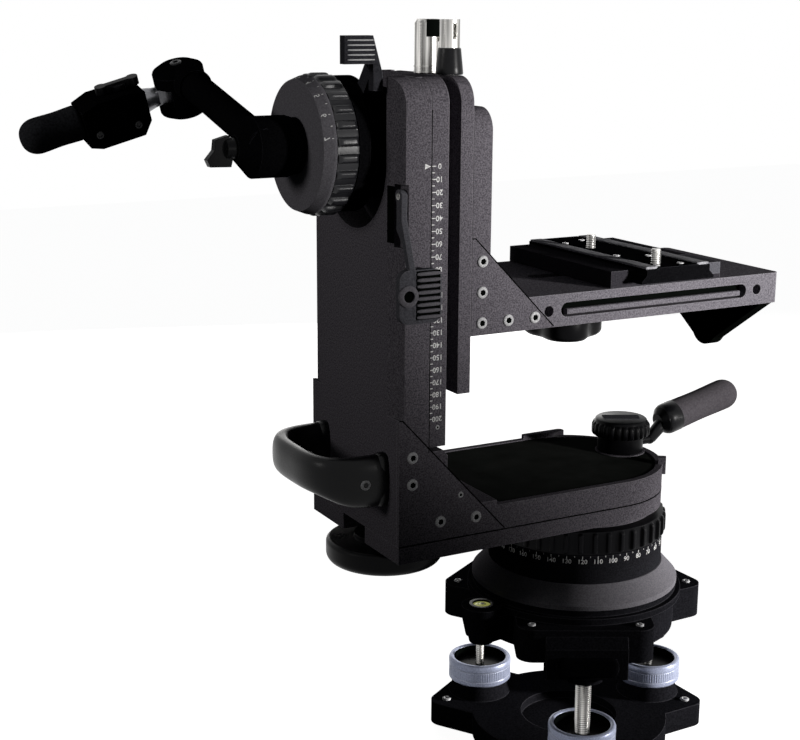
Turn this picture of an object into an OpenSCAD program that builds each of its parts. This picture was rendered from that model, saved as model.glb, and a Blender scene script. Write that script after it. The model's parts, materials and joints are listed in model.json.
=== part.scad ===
// Fluid video head: a levelling base, a panning L-shaped arm and a camera cradle that hangs from a tilt drum.
// Millimetres, +Z up. The origin is the pan axis at the underside of the base plate.
// +X runs along the arm from the column to the platform's free end, -Y is the lens side.

/* [Levelling base] */
// Direction of the front levelling wheel, as an angle from +X
base_angle = 241.8; // [0:0.1:360]
// Distance of each levelling wheel from the pan axis
level_r = 95; // [92:0.5:97]
// Thickness of the bottom plate
base_t = 22; // [18:0.5:30]
// Reach of the bottom plate's lobes from the pan axis
base_reach = 127; // [120:1:134]
// Half width of the bottom plate's lobes
base_half_w = 50; // [44:1:56]
// Radius of the corners of both lobed castings
lobe_corner = 14; // [8:1:20]
// Outer radius of a levelling wheel
wheel_r = 30; // [27:0.5:33]
// Height of a levelling wheel
wheel_h = 22; // [18:0.5:26]
// Wall of a levelling wheel's metal ring
wheel_wall = 5; // [3:0.5:7]
// Height of the cup under a levelling wheel
cup_h = 14; // [10:0.5:18]
// Radius of the front levelling screw
front_screw_r = 7; // [5:0.25:9]
// Radius of the two other levelling screws
level_screw_r = 4; // [3:0.25:6]
// Height of the gap between a wheel and the boss above it
wheel_gap = 22; // [18:1:28]
// Height of a lobe's tapered boss
lobe_boss_h = 40; // [34:1:44]
// Thickness of the upper casting
casting_t = 30; // [26:1:36]
// Reach of the upper casting's lobes from the pan axis
casting_reach = 108; // [104:1:116]
// Half width of the upper casting's lobes
casting_half_w = 60; // [54:1:64]
// Width of the badge tab on the front lobe
tab_w = 71; // [50:1:90]
// Height of the badge tab
tab_h = 37; // [32:0.5:42]
// How far the badge tab stands out of the lobe
tab_out = 7; // [4:0.5:10]
// Radius of the round level vial
vial_r = 8; // [6:0.5:8.5]
// Distance of the vial's ear from the pan axis
vial_reach = 113; // [112:0.5:117]

/* [Pan unit] */
// Radius of the casting's round seat under the cone
seat_r = 98; // [96:0.5:102]
// Height of the casting's round seat
seat_h = 12; // [9:0.5:16]
// Radius of the cone at its foot
cone_r = 94; // [90:0.5:95.5]
// Height of the cone
cone_h = 19; // [16:0.5:24]
// Radius of the numbered degree ring
degree_r = 79; // [76:0.5:81]
// Height of the degree ring
degree_h = 26; // [22:0.5:30]
// Radius of the pan drag ring between its ribs
drag_r = 79.5; // [77:0.5:81]
// Height of the pan drag ring
drag_h = 22; // [18:0.5:26]
// Radius of the core that carries both rings
pan_core_r = 60; // [56:0.5:64]
// Radius of the pan spindle
spindle_r = 25; // [22:0.5:28]
// Outer radius of a bearing on the spindle
spindle_bearing_r = 36; // [33:0.5:40]
// Number of ribs on the pan drag ring
pan_ribs = 40; // [24:1:48]
// Height of the neck between the drag ring and the arm
neck_h = 6; // [4:0.5:9]

/* [Pan arm] */
// Width of the arm, the column and the cradle, front to back
depth = 158; // [152:1:166]
// Distance from the column's outer face to the pan axis
side_reach = 228; // [218:1:238]
// Distance from the column's outer face to the middle of the arm's round end
arm_end = 225; // [215:1:230]
// Thickness of the lower arm plate
plate_t = 14.3; // [12:0.1:18]
// Height of the arm tray's rim
tray_h = 22; // [19:0.5:26]
// Wall of the arm tray
tray_wall = 6; // [4:0.5:9]
// Thickness of the arm tray's floor
tray_floor = 20.5; // [18:0.5:21]
// Height of the block between the tray and the column
block_h = 26.5; // [25:0.5:30]
// Where the block ends, from the column's outer face
block_end = 92; // [84:1:100]
// Half width of the guide slot in the arm plate
slot_half_w = 20; // [16:0.5:24]
// Length of the guide slot from the open end
slot_len = 130; // [124:1:138]
// Length of the guide key in the slot
key_len = 55; // [45:1:60]
// Thickness of the gusset plates
gusset_t = 4; // [3:0.5:6]
// Length of a lower gusset along the arm
gusset_x = 100; // [92:1:108]
// Height of a lower gusset
gusset_z = 105; // [98:1:112]

/* [Column] */
// Thickness of the column
column_t = 26.7; // [25:0.1:29]
// Height of the column above the seam
column_h = 370; // [362:1:380]
// Radius of the column's top corners
top_corner = 21; // [14:0.5:21]
// Depth of the bevel along the column's outer corners
bevel_x = 4.5; // [3:0.5:6]
// Width of the bevel along the column's outer corners
bevel_y = 21; // [18:0.5:21]
// Width of the foot block beside the column
foot_w = 20; // [17:0.5:24]
// Height of the foot block above the seam
foot_h = 75; // [70:0.5:76]
// Wall of the column on each side of the drum's open-topped pocket
pocket_wall = 23; // [22:0.5:25]
// Drop of the pocket's round centre below the column's top
pocket_down = 66; // [58:1:70]
// Reach of the carrying handle from the column
handle_out = 62; // [54:1:66]
// Half length of the carrying handle
handle_half = 63; // [56:1:68]
// Thickness of the carrying handle's strap
handle_t = 14; // [11:0.5:17]
// Height of the carrying handle's strap
handle_h = 46; // [38:1:48]
// Height of the handle's lower edge above the seam
handle_z = 28; // [24:0.5:30]
// Radius of the side clamp knob
side_knob_r = 50; // [44:1:54]
// Height of the side clamp knob
side_knob_h = 21; // [18:0.5:24]
// Distance of the side knob from the column's outer face
side_knob_x = 29; // [24:0.5:34]
// Radius of the side knob's stem
side_stem_r = 8; // [6:0.5:10]

/* [Carriage and tilt drum] */
// Thickness of the sliding carriage
carriage_t = 15; // [13:0.5:15]
// Drop of the tilt axis below the column's top
tilt_down = 54.5; // [50:0.5:58]
// Distance of each guide rail from the column's front or back face
rail_in = 12; // [11.5:0.25:12.5]
// Width of a guide rail's neck
rail_neck = 7; // [5:0.5:8]
// Width of a guide rail's head
rail_head = 13; // [11:0.5:13]
// Depth of a guide rail's neck and of its head
rail_d = 6.5; // [5:0.5:7]
// Radius of the tilt shaft
shaft_r = 20; // [17:0.5:23]
// Outer radius of a tilt bearing
tilt_bearing_r = 30; // [27:0.5:33]
// Radius of the tilt housing's neck
housing_r = 44; // [41:0.5:46]
// Radius of the drum flange and of the drag ring between its ribs
drum_r = 53.5; // [51:0.5:55]
// Radius of the core inside the tilt drag ring
tilt_core_r = 40; // [37:0.5:42]
// Radius of the drum's face inside its numbered chamfer
face_r = 51; // [48:0.5:51]
// Thickness of the drum's face
face_t = 10; // [8:0.5:12]
// Width of the tilt drag ring
tilt_ring_w = 19; // [16:0.5:22]
// Thickness of the drum flange
flange_t = 9; // [7:0.5:11]
// How far the drum flange stands off the column
flange_off = 12; // [11:0.5:14]
// Number of ribs on the tilt drag ring
tilt_ribs = 26; // [18:1:36]
// Width of the brake lever's collar
brake_w = 8; // [6:0.5:9]
// Reach of the brake lever from the tilt axis
brake_reach = 92; // [88:1:98]
// Width of the brake lever's thumb pad
brake_pad = 24; // [20:1:30]

/* [Camera cradle] */
// Gap between the carriage and the swing plate
swing_gap = 10.5; // [9:0.5:13]
// Thickness of the swing plate
swing_t = 11.5; // [11:0.5:14]
// Height of the swing plate's lower edge above the seam
swing_low = 121; // [117:1:126]
// Thickness of the cradle riser
riser_t = 17; // [15:0.5:20]
// Drop of the riser's top below the column's top
riser_drop = 24; // [21:1:30]
// Height of the platform's underside above the seam
platform_z = 167; // [163:1:172]
// Thickness of the platform
platform_t = 27; // [24:0.5:31]
// Length of the platform from the riser to its free end
platform_len = 302; // [290:1:314]
// Length of an upper gusset along the platform
cradle_gusset_x = 79; // [72:1:86]
// Height of an upper gusset
cradle_gusset_z = 78; // [72:1:84]
// Length of the pill slot in the platform's front face
pill_len = 196; // [180:1:200]
// Height of the pill slot
pill_h = 12; // [10:0.5:14]
// Thickness of the end bracket
bracket_t = 12; // [10:0.5:15]
// Drop of the end bracket below the platform
bracket_drop = 52; // [46:1:54]
// Radius of the end bracket's round tip
bracket_tip = 17; // [14:0.5:20]
// Distance of the clamp's middle from the riser
clamp_x = 177; // [168:1:186]
// Width of the plate clamp
clamp_w = 116; // [108:1:124]
// Height of the plate clamp
clamp_h = 14; // [13:0.5:16]
// Width of the camera plate at its top
plate_w = 76; // [70:1:82]
// Length of the camera plate
plate_len = 178; // [170:1:190]
// Thickness of the camera plate
cam_plate_t = 13; // [12:0.5:15]
// Radius of a camera screw
cam_screw_r = 4.7; // [3.1:0.1:5]
// Height of a camera screw above the plate
cam_screw_h = 12; // [8:0.5:14]
// Radius of the platform's clamp knob
knob_r = 38; // [34:1:42]
// Height of the platform's clamp knob
knob_h = 17; // [14:1:22]

/* [Handles] */
// Upward angle of the pan bar's tube
bar_tilt = 14.5; // [10:0.5:17]
// Turn of the pan bar's elbow about its tube
bar_roll = -17; // [-22:1:0]
// Radius of the pan bar's tube
bar_r = 12.5; // [11:0.5:13]
// Distance of the elbow from the tilt axis along the tube
bar_len = 162; // [150:1:175]
// Distance of the tube's axis from the drum's face
bar_out = 33; // [31:0.5:37]
// Radius of the pan bar's foam grip
grip_r = 15; // [13:0.5:17]
// Length of the pan bar's foam grip
grip_len = 52; // [44:1:60]
// Radius of the arm knob
stub_knob_r = 26; // [24:0.5:28]
// Radius of the short handle's foam grip
stub_grip_r = 12.5; // [11:0.5:14]
// Length of the short handle's foam grip
stub_grip_len = 77; // [64:1:84]

/* [Fits] */
// Gap between sliding or turning faces of different pieces
slide_gap = 0.3; // [0.25:0.05:0.5]
// Radial clearance of a shaft that turns in its bore
run_fit = 0.05; // [0.03:0.01:0.08]
// Radial clearance of a pin that is fixed in its bore
seat_fit = 0.02; // [0.01:0.01:0.05]

/* [Hidden] */
$fn = 96;

half = depth / 2;
pocket_r = half - pocket_wall;
rail_y = half - rail_in;
pocket_z = column_h - pocket_down;
tilt_z = column_h - tilt_down;
riser_top = column_h - riser_drop;
eps = 0.5;
rib_margin = 2;

// Heights of the levelling base, from the ground up
wheel_z = base_t + cup_h + slide_gap;
casting_z = wheel_z + wheel_h + wheel_gap + lobe_boss_h;
casting_top = casting_z + casting_t;
seat_top = casting_top + seat_h;
degree_z = seat_top + cone_h;
drag_z = degree_z + degree_h + slide_gap;
neck_z = drag_z + drag_h + slide_gap;
plate_z = neck_z + neck_h;
seam_z = plate_z + plate_t + slide_gap;

// Places across the head, from the column's outer face
carriage_x = column_t + slide_gap;
swing_x = carriage_x + carriage_t + swing_gap;
riser_x = swing_x + swing_t + slide_gap;
platform_x = riser_x + riser_t;
platform_end = platform_x + platform_len;
foot_end = column_t + foot_w;
block_key_x = foot_end + 3;
clamp_mid = platform_x + clamp_x;
clamp_z = platform_z + platform_t;
pad_t = 2;
knob_x = clamp_mid - clamp_w / 2 + 8;
face_x = -flange_off - flange_t - tilt_ring_w - 2 * slide_gap;
rosette_t = 9;
rosette_r = 22;
rosette_pin_r = 4;
rosette_pin_h = 6;
rosette_x = face_x - face_t - rosette_t;
tube_x = face_x - face_t - bar_out;

// Outline helpers
module round_box(low, high, r) {
  translate([low[0] + r, low[1]]) square([high[0] - low[0] - 2 * r, high[1] - low[1]]);
  translate([low[0], low[1] + r]) square([high[0] - low[0], high[1] - low[1] - 2 * r]);
  for (x = [low[0] + r, high[0] - r], y = [low[1] + r, high[1] - r]) translate([x, y]) circle(r);
}

// A flat outline in Y and Z, given thickness from x0 to x1
module across(x0, x1) {
  translate([x0, 0, 0]) rotate([90, 0, 90]) linear_extrude(x1 - x0) children();
}

// A flat outline in X and Z, given thickness from y0 to y1
module along(y0, y1) {
  translate([0, y1, 0]) rotate([90, 0, 0]) linear_extrude(y1 - y0) children();
}

// A round bar along +X from x0 to x1
module bar_x(r, x0, x1) {
  translate([x0, 0, 0]) rotate([0, 90, 0]) cylinder(r = r, h = x1 - x0);
}

// A hub with three lobes, the front one first
module lobed(reach, half_w, hub_r) {
  circle(hub_r);
  for (i = [0:2]) rotate(base_angle + 120 * i) round_box([0, -half_w], [reach, half_w], lobe_corner);
}

function screw_r(i) = i == 0 ? front_screw_r : level_screw_r;

module at_wheel(i) {
  rotate(base_angle + 120 * i) translate([level_r, 0, 0]) children();
}

// Everything above the seam is drawn from the column's outer face
module from_column() {
  translate([-side_reach, 0, seam_z]) children();
}

// Everything on the tilt axis, measured in X from the column's outer face
module from_tilt() {
  translate([-side_reach, 0, seam_z + tilt_z]) children();
}

// A drag ring's grip: round bars let into the rim, along +Z
module grip_ribs(count, r, h, bar_r) {
  for (i = [0:count - 1]) rotate(360 / count * i) translate([r, 0, rib_margin])
    cylinder(r = bar_r, h = h - 2 * rib_margin, $fn = 16);
}

// Levelling base
module base_plate() {
  color("#202124") difference() {
    union() {
      linear_extrude(base_t) lobed(base_reach, base_half_w, base_reach * 0.72);
      for (i = [0:2]) at_wheel(i) translate([0, 0, base_t - 2])
        cylinder(r1 = wheel_r, r2 = wheel_r - 5, h = cup_h + 2);
    }
    translate([0, 0, -eps]) cylinder(r = base_bolt_r, h = base_t + 2 * eps);
    translate([0, 0, base_t - 8]) cylinder(r = base_well_r, h = 8 + eps);
    for (i = [0:2]) at_wheel(i) translate([0, 0, 6]) cylinder(r = screw_r(i) + 1, h = base_t + cup_h);
  }
}
base_bolt_r = 4.8;
base_well_r = 45;

module wheel_ring(i) {
  color("#8f98a8") at_wheel(i) translate([0, 0, wheel_z]) difference() {
    union() {
      cylinder(r = wheel_r, h = wheel_h - 2);
      translate([0, 0, wheel_h - 2]) cylinder(r1 = wheel_r, r2 = wheel_r - 2, h = 2);
    }
    translate([0, 0, -eps]) cylinder(r = wheel_r - wheel_wall, h = wheel_h + 2 * eps);
  }
}

module wheel_hub(i) {
  color("#1b1c1e") at_wheel(i) translate([0, 0, wheel_z]) difference() {
    cylinder(r = wheel_r - wheel_wall, h = wheel_h * 0.6);
    translate([0, 0, -eps]) cylinder(r = screw_r(i) + run_fit, h = wheel_h);
  }
}

lobe_boss_r = 24;
vial_depth = 9;
vial_wall = 3;
vial_lift = 8;
vial_turn = 52;
ear_h = 34;
ear_r = vial_r + 10;

// The vial's ear stands between the front lobe and the lobe beside the column
module at_vial(down) {
  rotate(base_angle - vial_turn) translate([vial_reach, 0, casting_top + vial_lift - down]) children();
}

// The web that carries the ear
module ear_web() {
  rotate(base_angle - vial_turn) translate([0, -ear_r * 0.7, casting_z + 6])
    cube([vial_reach, ear_r * 1.4, casting_t - 8]);
}

module badge_tab() {
  reach = casting_reach + tab_out;
  top = casting_top - 6;
  rotate(base_angle) rotate([90, 0, 0]) translate([0, 0, -tab_w / 2]) linear_extrude(tab_w) polygon([
    [casting_reach - 14, top - tab_h], [reach, top - tab_h], [reach, top - 9],
    [reach - tab_out, top], [casting_reach - 14, top]
  ]);
}

module upper_casting() {
  color("#26282b") difference() {
    union() {
      translate([0, 0, casting_z]) linear_extrude(casting_t) lobed(casting_reach, casting_half_w, seat_r - 6);
      translate([0, 0, casting_top]) cylinder(r = seat_r, h = seat_h / 2);
      translate([0, 0, casting_top + seat_h / 2]) cylinder(r = seat_r - 5, h = seat_h / 2);
      for (i = [1:2]) at_wheel(i) translate([0, 0, casting_z - lobe_boss_h])
        cylinder(r1 = lobe_boss_r * 0.6, r2 = lobe_boss_r, h = lobe_boss_h + 4);
      at_wheel(0) translate([0, 0, casting_z - lobe_boss_h / 2])
        cylinder(r1 = lobe_boss_r * 0.7, r2 = lobe_boss_r, h = lobe_boss_h / 2 + 4);
      badge_tab();
      ear_web();
      at_vial(ear_h) cylinder(r1 = ear_r * 0.6, r2 = ear_r, h = ear_h);
    }
    for (i = [0:2]) at_wheel(i) translate([0, 0, casting_z - lobe_boss_h - eps])
      cylinder(r = screw_r(i) + seat_fit, h = lobe_boss_h + casting_t / 2 + eps);
    at_vial(vial_depth) cylinder(r = vial_r + vial_wall + seat_fit, h = vial_depth + eps);
  }
}

module levelling_screws() {
  color("#c4c6c8") for (i = [0:2]) at_wheel(i)
    translate([0, 0, wheel_z - 4]) cylinder(r = screw_r(i), h = casting_z + casting_t / 2 - wheel_z + 3.5);
}

module vial_cup() {
  color("#b9bcc0") at_vial(vial_depth) difference() {
    cylinder(r = vial_r + vial_wall, h = vial_depth + 1.5);
    translate([0, 0, 2]) cylinder(r = vial_r + seat_fit, h = vial_depth);
  }
}

module level_vial() {
  color("#d9e27a") at_vial(vial_depth) translate([0, 0, 2]) {
    cylinder(r = vial_r, h = vial_depth - 3);
    translate([0, 0, vial_depth - 3]) cylinder(r1 = vial_r, r2 = vial_r - 2, h = 1.5);
  }
}

// Pan unit
core_h = degree_h + drag_h;
bearing_h = 10;
spindle_cap = 4;

module pan_cone() {
  color("#3a3c40") translate([0, 0, seat_top]) difference() {
    union() {
      cylinder(r = cone_r, h = 4);
      translate([0, 0, 4]) cylinder(r1 = cone_r, r2 = degree_r + 1, h = cone_h - 4);
      translate([0, 0, cone_h]) cylinder(r = pan_core_r, h = core_h);
    }
    translate([0, 0, cone_h - 6]) cylinder(r = spindle_bearing_r + seat_fit, h = core_h + 6 + eps);
  }
}

module degree_ring() {
  color("#2c2e31") translate([0, 0, degree_z]) difference() {
    cylinder(r = degree_r, h = degree_h);
    translate([0, 0, -eps]) cylinder(r = pan_core_r + seat_fit, h = degree_h + 2 * eps);
  }
}

module pan_bearings() {
  color("#c9cbce") for (z = [degree_z - 2, degree_z + core_h - bearing_h - 1]) {
    translate([0, 0, z]) difference() {
      cylinder(r = spindle_bearing_r, h = bearing_h);
      translate([0, 0, -eps]) cylinder(r = spindle_r + run_fit, h = bearing_h + 2 * eps);
    }
  }
}

module pan_drag_ring() {
  color("#2a2b2e") translate([0, 0, drag_z]) difference() {
    union() {
      cylinder(r = drag_r, h = drag_h - 4);
      translate([0, 0, drag_h - 4]) cylinder(r1 = drag_r, r2 = drag_r - 4, h = 4);
      grip_ribs(pan_ribs, drag_r, drag_h, 2.5);
    }
    translate([0, 0, -eps]) cylinder(r = pan_core_r + run_fit, h = drag_h + 2 * eps);
  }
}

module pan_spindle() {
  color("#b4b7bb") translate([0, 0, degree_z - 4])
    cylinder(r = spindle_r, h = plate_z + plate_t - spindle_cap + 4 - degree_z);
}

// Outline of the arm from x0 to its round end over the pan axis
module arm_outline(x0, inset) {
  translate([x0, -half + inset]) square([arm_end - x0, depth - 2 * inset]);
  translate([arm_end, 0]) circle(half - inset);
}

module arm_plate() {
  color("#4a4c50") {
    difference() {
      union() {
        from_column() translate([0, 0, -plate_t - slide_gap]) linear_extrude(plate_t) difference() {
          arm_outline(0, 0);
          translate([-eps, -slot_half_w]) square([slot_len - slot_half_w + eps, 2 * slot_half_w]);
          translate([slot_len - slot_half_w, 0]) circle(slot_half_w);
        }
        translate([0, 0, neck_z]) cylinder(r = degree_r - 9, h = neck_h);
      }
      translate([0, 0, neck_z - eps])
        cylinder(r = spindle_r + seat_fit, h = plate_z + plate_t - neck_z - spindle_cap + eps);
    }
  }
}

// Pan arm and column
stub_at = [arm_end + 54.5, 5];
stub_seat_r = 21;
stub_pin_r = 6;
stub_neck_r = 11;

module arm_tray() {
  color("#505257") from_column() difference() {
    union() {
      linear_extrude(tray_h) arm_outline(foot_end, 0);
      translate([foot_end, -half, 0]) cube([block_end - foot_end, depth, block_h]);
      translate([block_key_x, -slot_half_w + slide_gap, -plate_t])
        cube([key_len, 2 * (slot_half_w - slide_gap), plate_t]);
      translate([arm_end - 8, half - 9, 0]) linear_extrude(tray_h + 4) round_box([0, 0], [46, 9], 4);
      translate([arm_end, 0, 0]) rotate(-38) translate([half - 4, -4, tray_h - 9]) cube([7, 8, 15]);
    }
    difference() {
      translate([0, 0, tray_floor]) linear_extrude(tray_h) arm_outline(block_end + tray_wall, tray_wall);
      translate([stub_at[0], stub_at[1], 0]) cylinder(r = stub_seat_r + 2, h = tray_h);
    }
    translate([stub_at[0], stub_at[1], 4]) cylinder(r = stub_pin_r + run_fit, h = tray_h + 10);
    gusset_cut(0, gusset_x, gusset_z, 0);
  }
}

// Triangle of a gusset's face, its right angle at x0 and z0
module gusset_face(x0, lx, lz, z0) {
  polygon([[x0, z0], [x0 + lx, z0], [x0 + lx, z0 + 1], [x0 + 3, z0 + lz], [x0, z0 + lz]]);
}

module gusset_pair(x0, lx, lz, z0) {
  along(-half, -half + gusset_t) gusset_face(x0, lx, lz, z0);
  along(half - gusset_t, half) gusset_face(x0, lx, lz, z0);
}

// The recess that takes a gusset pair flush
module gusset_cut(x0, lx, lz, z0) {
  along(-half - eps, -half + gusset_t) gusset_recess(x0, lx, lz, z0);
  along(half - gusset_t, half + eps) gusset_recess(x0, lx, lz, z0);
}

module gusset_recess(x0, lx, lz, z0) {
  c = seat_fit;
  polygon([
    [x0 - eps, z0 - eps], [x0 + lx + c, z0 - eps], [x0 + lx + c, z0 + 1 + c],
    [x0 + 3 + c, z0 + lz + c], [x0 - eps, z0 + lz + c]
  ]);
}

// Face of the column or carriage from z0 to z1, with round top corners
module upright_face(z0, z1, r) {
  translate([-half, z0]) square([depth, z1 - z0 - r]);
  translate([-half + r, z0]) square([depth - 2 * r, z1 - z0]);
  for (s = [-1, 1]) translate([s * (half - r), z1 - r]) circle(r);
}

// Section of one guide rail: a neck and a wider head, grown by g on every side
module rail_section(g) {
  translate([-rail_d - g, -rail_neck / 2 - g]) square([rail_d + g + eps, rail_neck + 2 * g]);
  translate([-2 * rail_d - g, -rail_head / 2 - g]) square([rail_d + 2 * g, rail_head + 2 * g]);
}

lever_slot = [0.8, 7.2];
lever_z = column_h - 89;
rear_drop = 14;
lever_slot_low = lever_z - 40;
lever_depth = 13;
lever_pin_r = 2.5;
lever_pin_y = -half + 6;
lever_pin_grip = 5;

module column() {
  color("#55575c") from_column() difference() {
    union() {
      across(0, column_t) upright_face(0, column_h, top_corner);
      along(-half + gusset_t, half - gusset_t) polygon([
        [column_t, 0], [foot_end, 0], [foot_end, foot_h - 5], [foot_end - 4, foot_h], [column_t, foot_h]
      ]);
    }
    for (s = [-1, 1]) translate([0, 0, gusset_z]) linear_extrude(column_h) polygon([
      [-eps, s * (half - bevel_y)], [0, s * (half - bevel_y)], [bevel_x, s * half],
      [bevel_x, s * (half + eps)], [-eps, s * (half + eps)]
    ]);
    across(-eps, column_t + eps) {
      translate([0, pocket_z]) circle(pocket_r);
      translate([-pocket_r, pocket_z]) square([2 * pocket_r, column_h]);
    }
    for (s = [-1, 1]) translate([carriage_x, s * rail_y, foot_h])
      linear_extrude(column_h) rail_section(slide_gap);
    translate([-eps, pocket_r - eps, column_h - rear_drop]) cube([column_t + 2 * eps, half, rear_drop + eps]);
    gusset_cut(0, gusset_x, gusset_z, 0);
    // Slot of the lock lever
    translate([lever_slot[0], -half - eps, lever_slot_low])
      cube([lever_slot[1] - lever_slot[0], lever_depth + eps, lever_z + 9 - lever_slot_low]);
    translate([0, lever_pin_y, lever_z]) bar_x(lever_pin_r + seat_fit, 0, lever_slot[1] + lever_pin_grip);
    translate([side_knob_x, 0, -eps]) cylinder(r = side_stem_r + run_fit, h = side_stem_in);
  }
}

module lower_gussets() {
  color("#55575c") from_column() gusset_pair(0, gusset_x, gusset_z, 0);
}

handle_foot = 12;
strap_rise = 13;

module carrying_handle() {
  color("#1c1d1f") from_column() difference() {
    translate([0, 0, handle_z]) linear_extrude(handle_h) difference() {
      union() {
        round_box([-handle_out, -handle_half], [0, handle_half], handle_out / 2 - 2);
        translate([-handle_foot, -handle_half]) square([handle_foot, 2 * handle_half]);
      }
      round_box([-handle_out + handle_t, -handle_half + 20], [20, handle_half - 20], 12);
    }
    // The strap is slimmer than its feet
    along(-handle_half - eps, handle_half + eps) polygon([
      [-handle_foot, handle_z - eps], [-handle_out - eps, handle_z - eps],
      [-handle_out - eps, handle_z + strap_rise], [-handle_out / 2, handle_z + strap_rise]
    ]);
  }
}

// Collar of the side knob, and its stem's reach into the column
side_collar = 18;
side_collar_h = 4;
side_stem_in = 22;

module side_knob() {
  color("#1c1d1f") from_column() translate([side_knob_x, 0, 0]) {
    translate([0, 0, -side_collar_h - plate_t - 2 * slide_gap]) {
      cylinder(r = side_stem_r + side_collar, h = side_collar_h);
      cylinder(r = side_stem_r, h = side_collar_h + plate_t + side_stem_in - 4);
      translate([0, 0, -side_knob_h]) rotate_extrude() knob_profile();
    }
  }
}

// Half section of the side knob, with a full round rim
module knob_profile() {
  rim = side_knob_h / 2;
  square([side_knob_r - rim, side_knob_h]);
  translate([side_knob_r - rim, rim]) circle(rim, $fn = 48);
}

// Short handle on the arm
stub_low = 37;
stub_knob_h = 16;
stub_out = 52;
stub_z = 45;
stub_rise = 13.3;
stub_rod_r = stub_grip_r * 0.7;
ferrule_r = stub_grip_r + 0.5;
ferrule = [-9, 5.5];
link_r = 4.5;
link_z = tray_h + 6;
link_bend = 34;

module at_stub() {
  from_column() translate([stub_at[0], stub_at[1], 0]) children();
}

module arm_knob() {
  color("#232427") at_stub() {
    translate([0, 0, 5]) cylinder(r = stub_pin_r, h = stub_low - 5);
    translate([0, 0, tray_h + slide_gap]) cylinder(r = stub_neck_r, h = stub_low - tray_h - slide_gap);
    translate([0, 0, stub_low]) {
      cylinder(r = stub_knob_r, h = stub_knob_h - 3);
      translate([0, 0, stub_knob_h - 3]) cylinder(r1 = stub_knob_r, r2 = stub_knob_r - 3, h = 3);
      for (a = [-150:12:150]) rotate(a + 180) translate([stub_knob_r, 0, 2])
        cylinder(r = 1.4, h = stub_knob_h - 6, $fn = 16);
    }
  }
}

module stub_frame() {
  at_stub() translate([stub_out, 0, stub_z]) rotate([0, -stub_rise, 0]) children();
}

// Collar on the knob's neck, a cranked link and the black ferrule of the grip
module stub_link() {
  collar_z = tray_h + 2 * slide_gap;
  reach = stub_out - link_bend;
  climb = stub_z - link_z;
  color("#1b1c1e") {
    at_stub() difference() {
      union() {
        translate([0, 0, collar_z]) cylinder(r = stub_seat_r, h = stub_low - slide_gap - collar_z);
        translate([0, 0, link_z]) bar_x(link_r, 0, link_bend);
        translate([link_bend, 0, link_z]) sphere(r = link_r + 0.6);
        translate([link_bend, 0, link_z]) rotate([0, -atan2(climb, reach), 0])
          bar_x(link_r, 0, sqrt(climb * climb + reach * reach));
      }
      translate([0, 0, tray_h]) cylinder(r = stub_neck_r + run_fit, h = stub_low - tray_h);
    }
    stub_frame() {
      rotate([0, 90, 0]) rotate_extrude() polygon([
        [0, ferrule[0]], [ferrule_r - 5, ferrule[0]], [ferrule_r, ferrule[0] + 5], [ferrule_r, ferrule[1]],
        [stub_rod_r, ferrule[1]], [stub_rod_r, ferrule[1] + 14], [0, ferrule[1] + 14]
      ]);
    }
  }
}

module stub_grip() {
  start = ferrule[1] + seat_fit;
  finish = start + stub_grip_len - stub_grip_r;
  color("#8b8d91") stub_frame() difference() {
    union() {
      bar_x(stub_grip_r, start, finish);
      translate([finish, 0, 0]) sphere(r = stub_grip_r);
    }
    bar_x(stub_rod_r + seat_fit, 0, ferrule[1] + 14 + seat_fit);
  }
}

// Carriage and tilt drum
carriage_low = 80;

module carriage() {
  color("#55575c") from_column() difference() {
    union() {
      across(carriage_x, carriage_x + carriage_t) upright_face(carriage_low, column_h, top_corner);
      for (s = [-1, 1]) translate([carriage_x, s * rail_y, carriage_low])
        linear_extrude(column_h - carriage_low - top_corner) rail_section(0);
    }
    translate([0, 0, tilt_z]) bar_x(tilt_bearing_r + seat_fit, 0, swing_x);
    translate([carriage_x - eps, -22, column_h - rear_drop])
      cube([carriage_t + 2 * eps, depth, rear_drop + eps]);
  }
}

module tilt_housing() {
  color("#2b2c2f") from_tilt() difference() {
    union() {
      bar_x(tilt_core_r, face_x + slide_gap, -flange_off);
      bar_x(drum_r, -flange_off - flange_t, -flange_off);
      bar_x(housing_r, -flange_off, carriage_x);
    }
    bar_x(tilt_bearing_r + seat_fit, face_x - eps, carriage_x + eps);
  }
}

module tilt_bearings() {
  color("#c9cbce") from_tilt() for (x = [face_x + 4, carriage_x + 2]) difference() {
    bar_x(tilt_bearing_r, x, x + bearing_h);
    bar_x(shaft_r + run_fit, x - eps, x + bearing_h + eps);
  }
}

module tilt_drag_ring() {
  color("#303236") from_tilt() difference() {
    union() {
      bar_x(drum_r, face_x + slide_gap, -flange_off - flange_t - slide_gap);
      translate([face_x + slide_gap, 0, 0]) rotate([0, 90, 0]) grip_ribs(tilt_ribs, drum_r, tilt_ring_w, 2.5);
    }
    bar_x(tilt_core_r + run_fit, face_x - eps, 0);
  }
}

brake_angle = 38;
brake_pad_z = 64;
brake_pad_x = -12;

module brake_lever() {
  color("#8d8f94") from_tilt() {
    difference() {
      union() {
        bar_x(drum_r, -flange_off + slide_gap, -flange_off + slide_gap + brake_w);
        rotate([brake_angle, 0, 0]) translate([-flange_off + slide_gap, -6, drum_r - 3])
          cube([brake_w, 12, 26]);
      }
      bar_x(housing_r + run_fit, -flange_off - eps, 0);
    }
    along(-57, -49) polygon([
      [-flange_off + slide_gap, 44], [-flange_off + slide_gap + brake_w, 44],
      [-flange_off + slide_gap + brake_w, 56], [brake_pad_x, brake_reach - 7],
      [brake_pad_x - brake_pad, brake_reach - 7], [brake_pad_x - brake_pad, brake_pad_z],
      [brake_pad_x, brake_pad_z], [-flange_off + slide_gap, brake_pad_z - 12]
    ]);
  }
}

// Lock lever in the column's front slot
lever_arm_t = 5;

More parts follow.
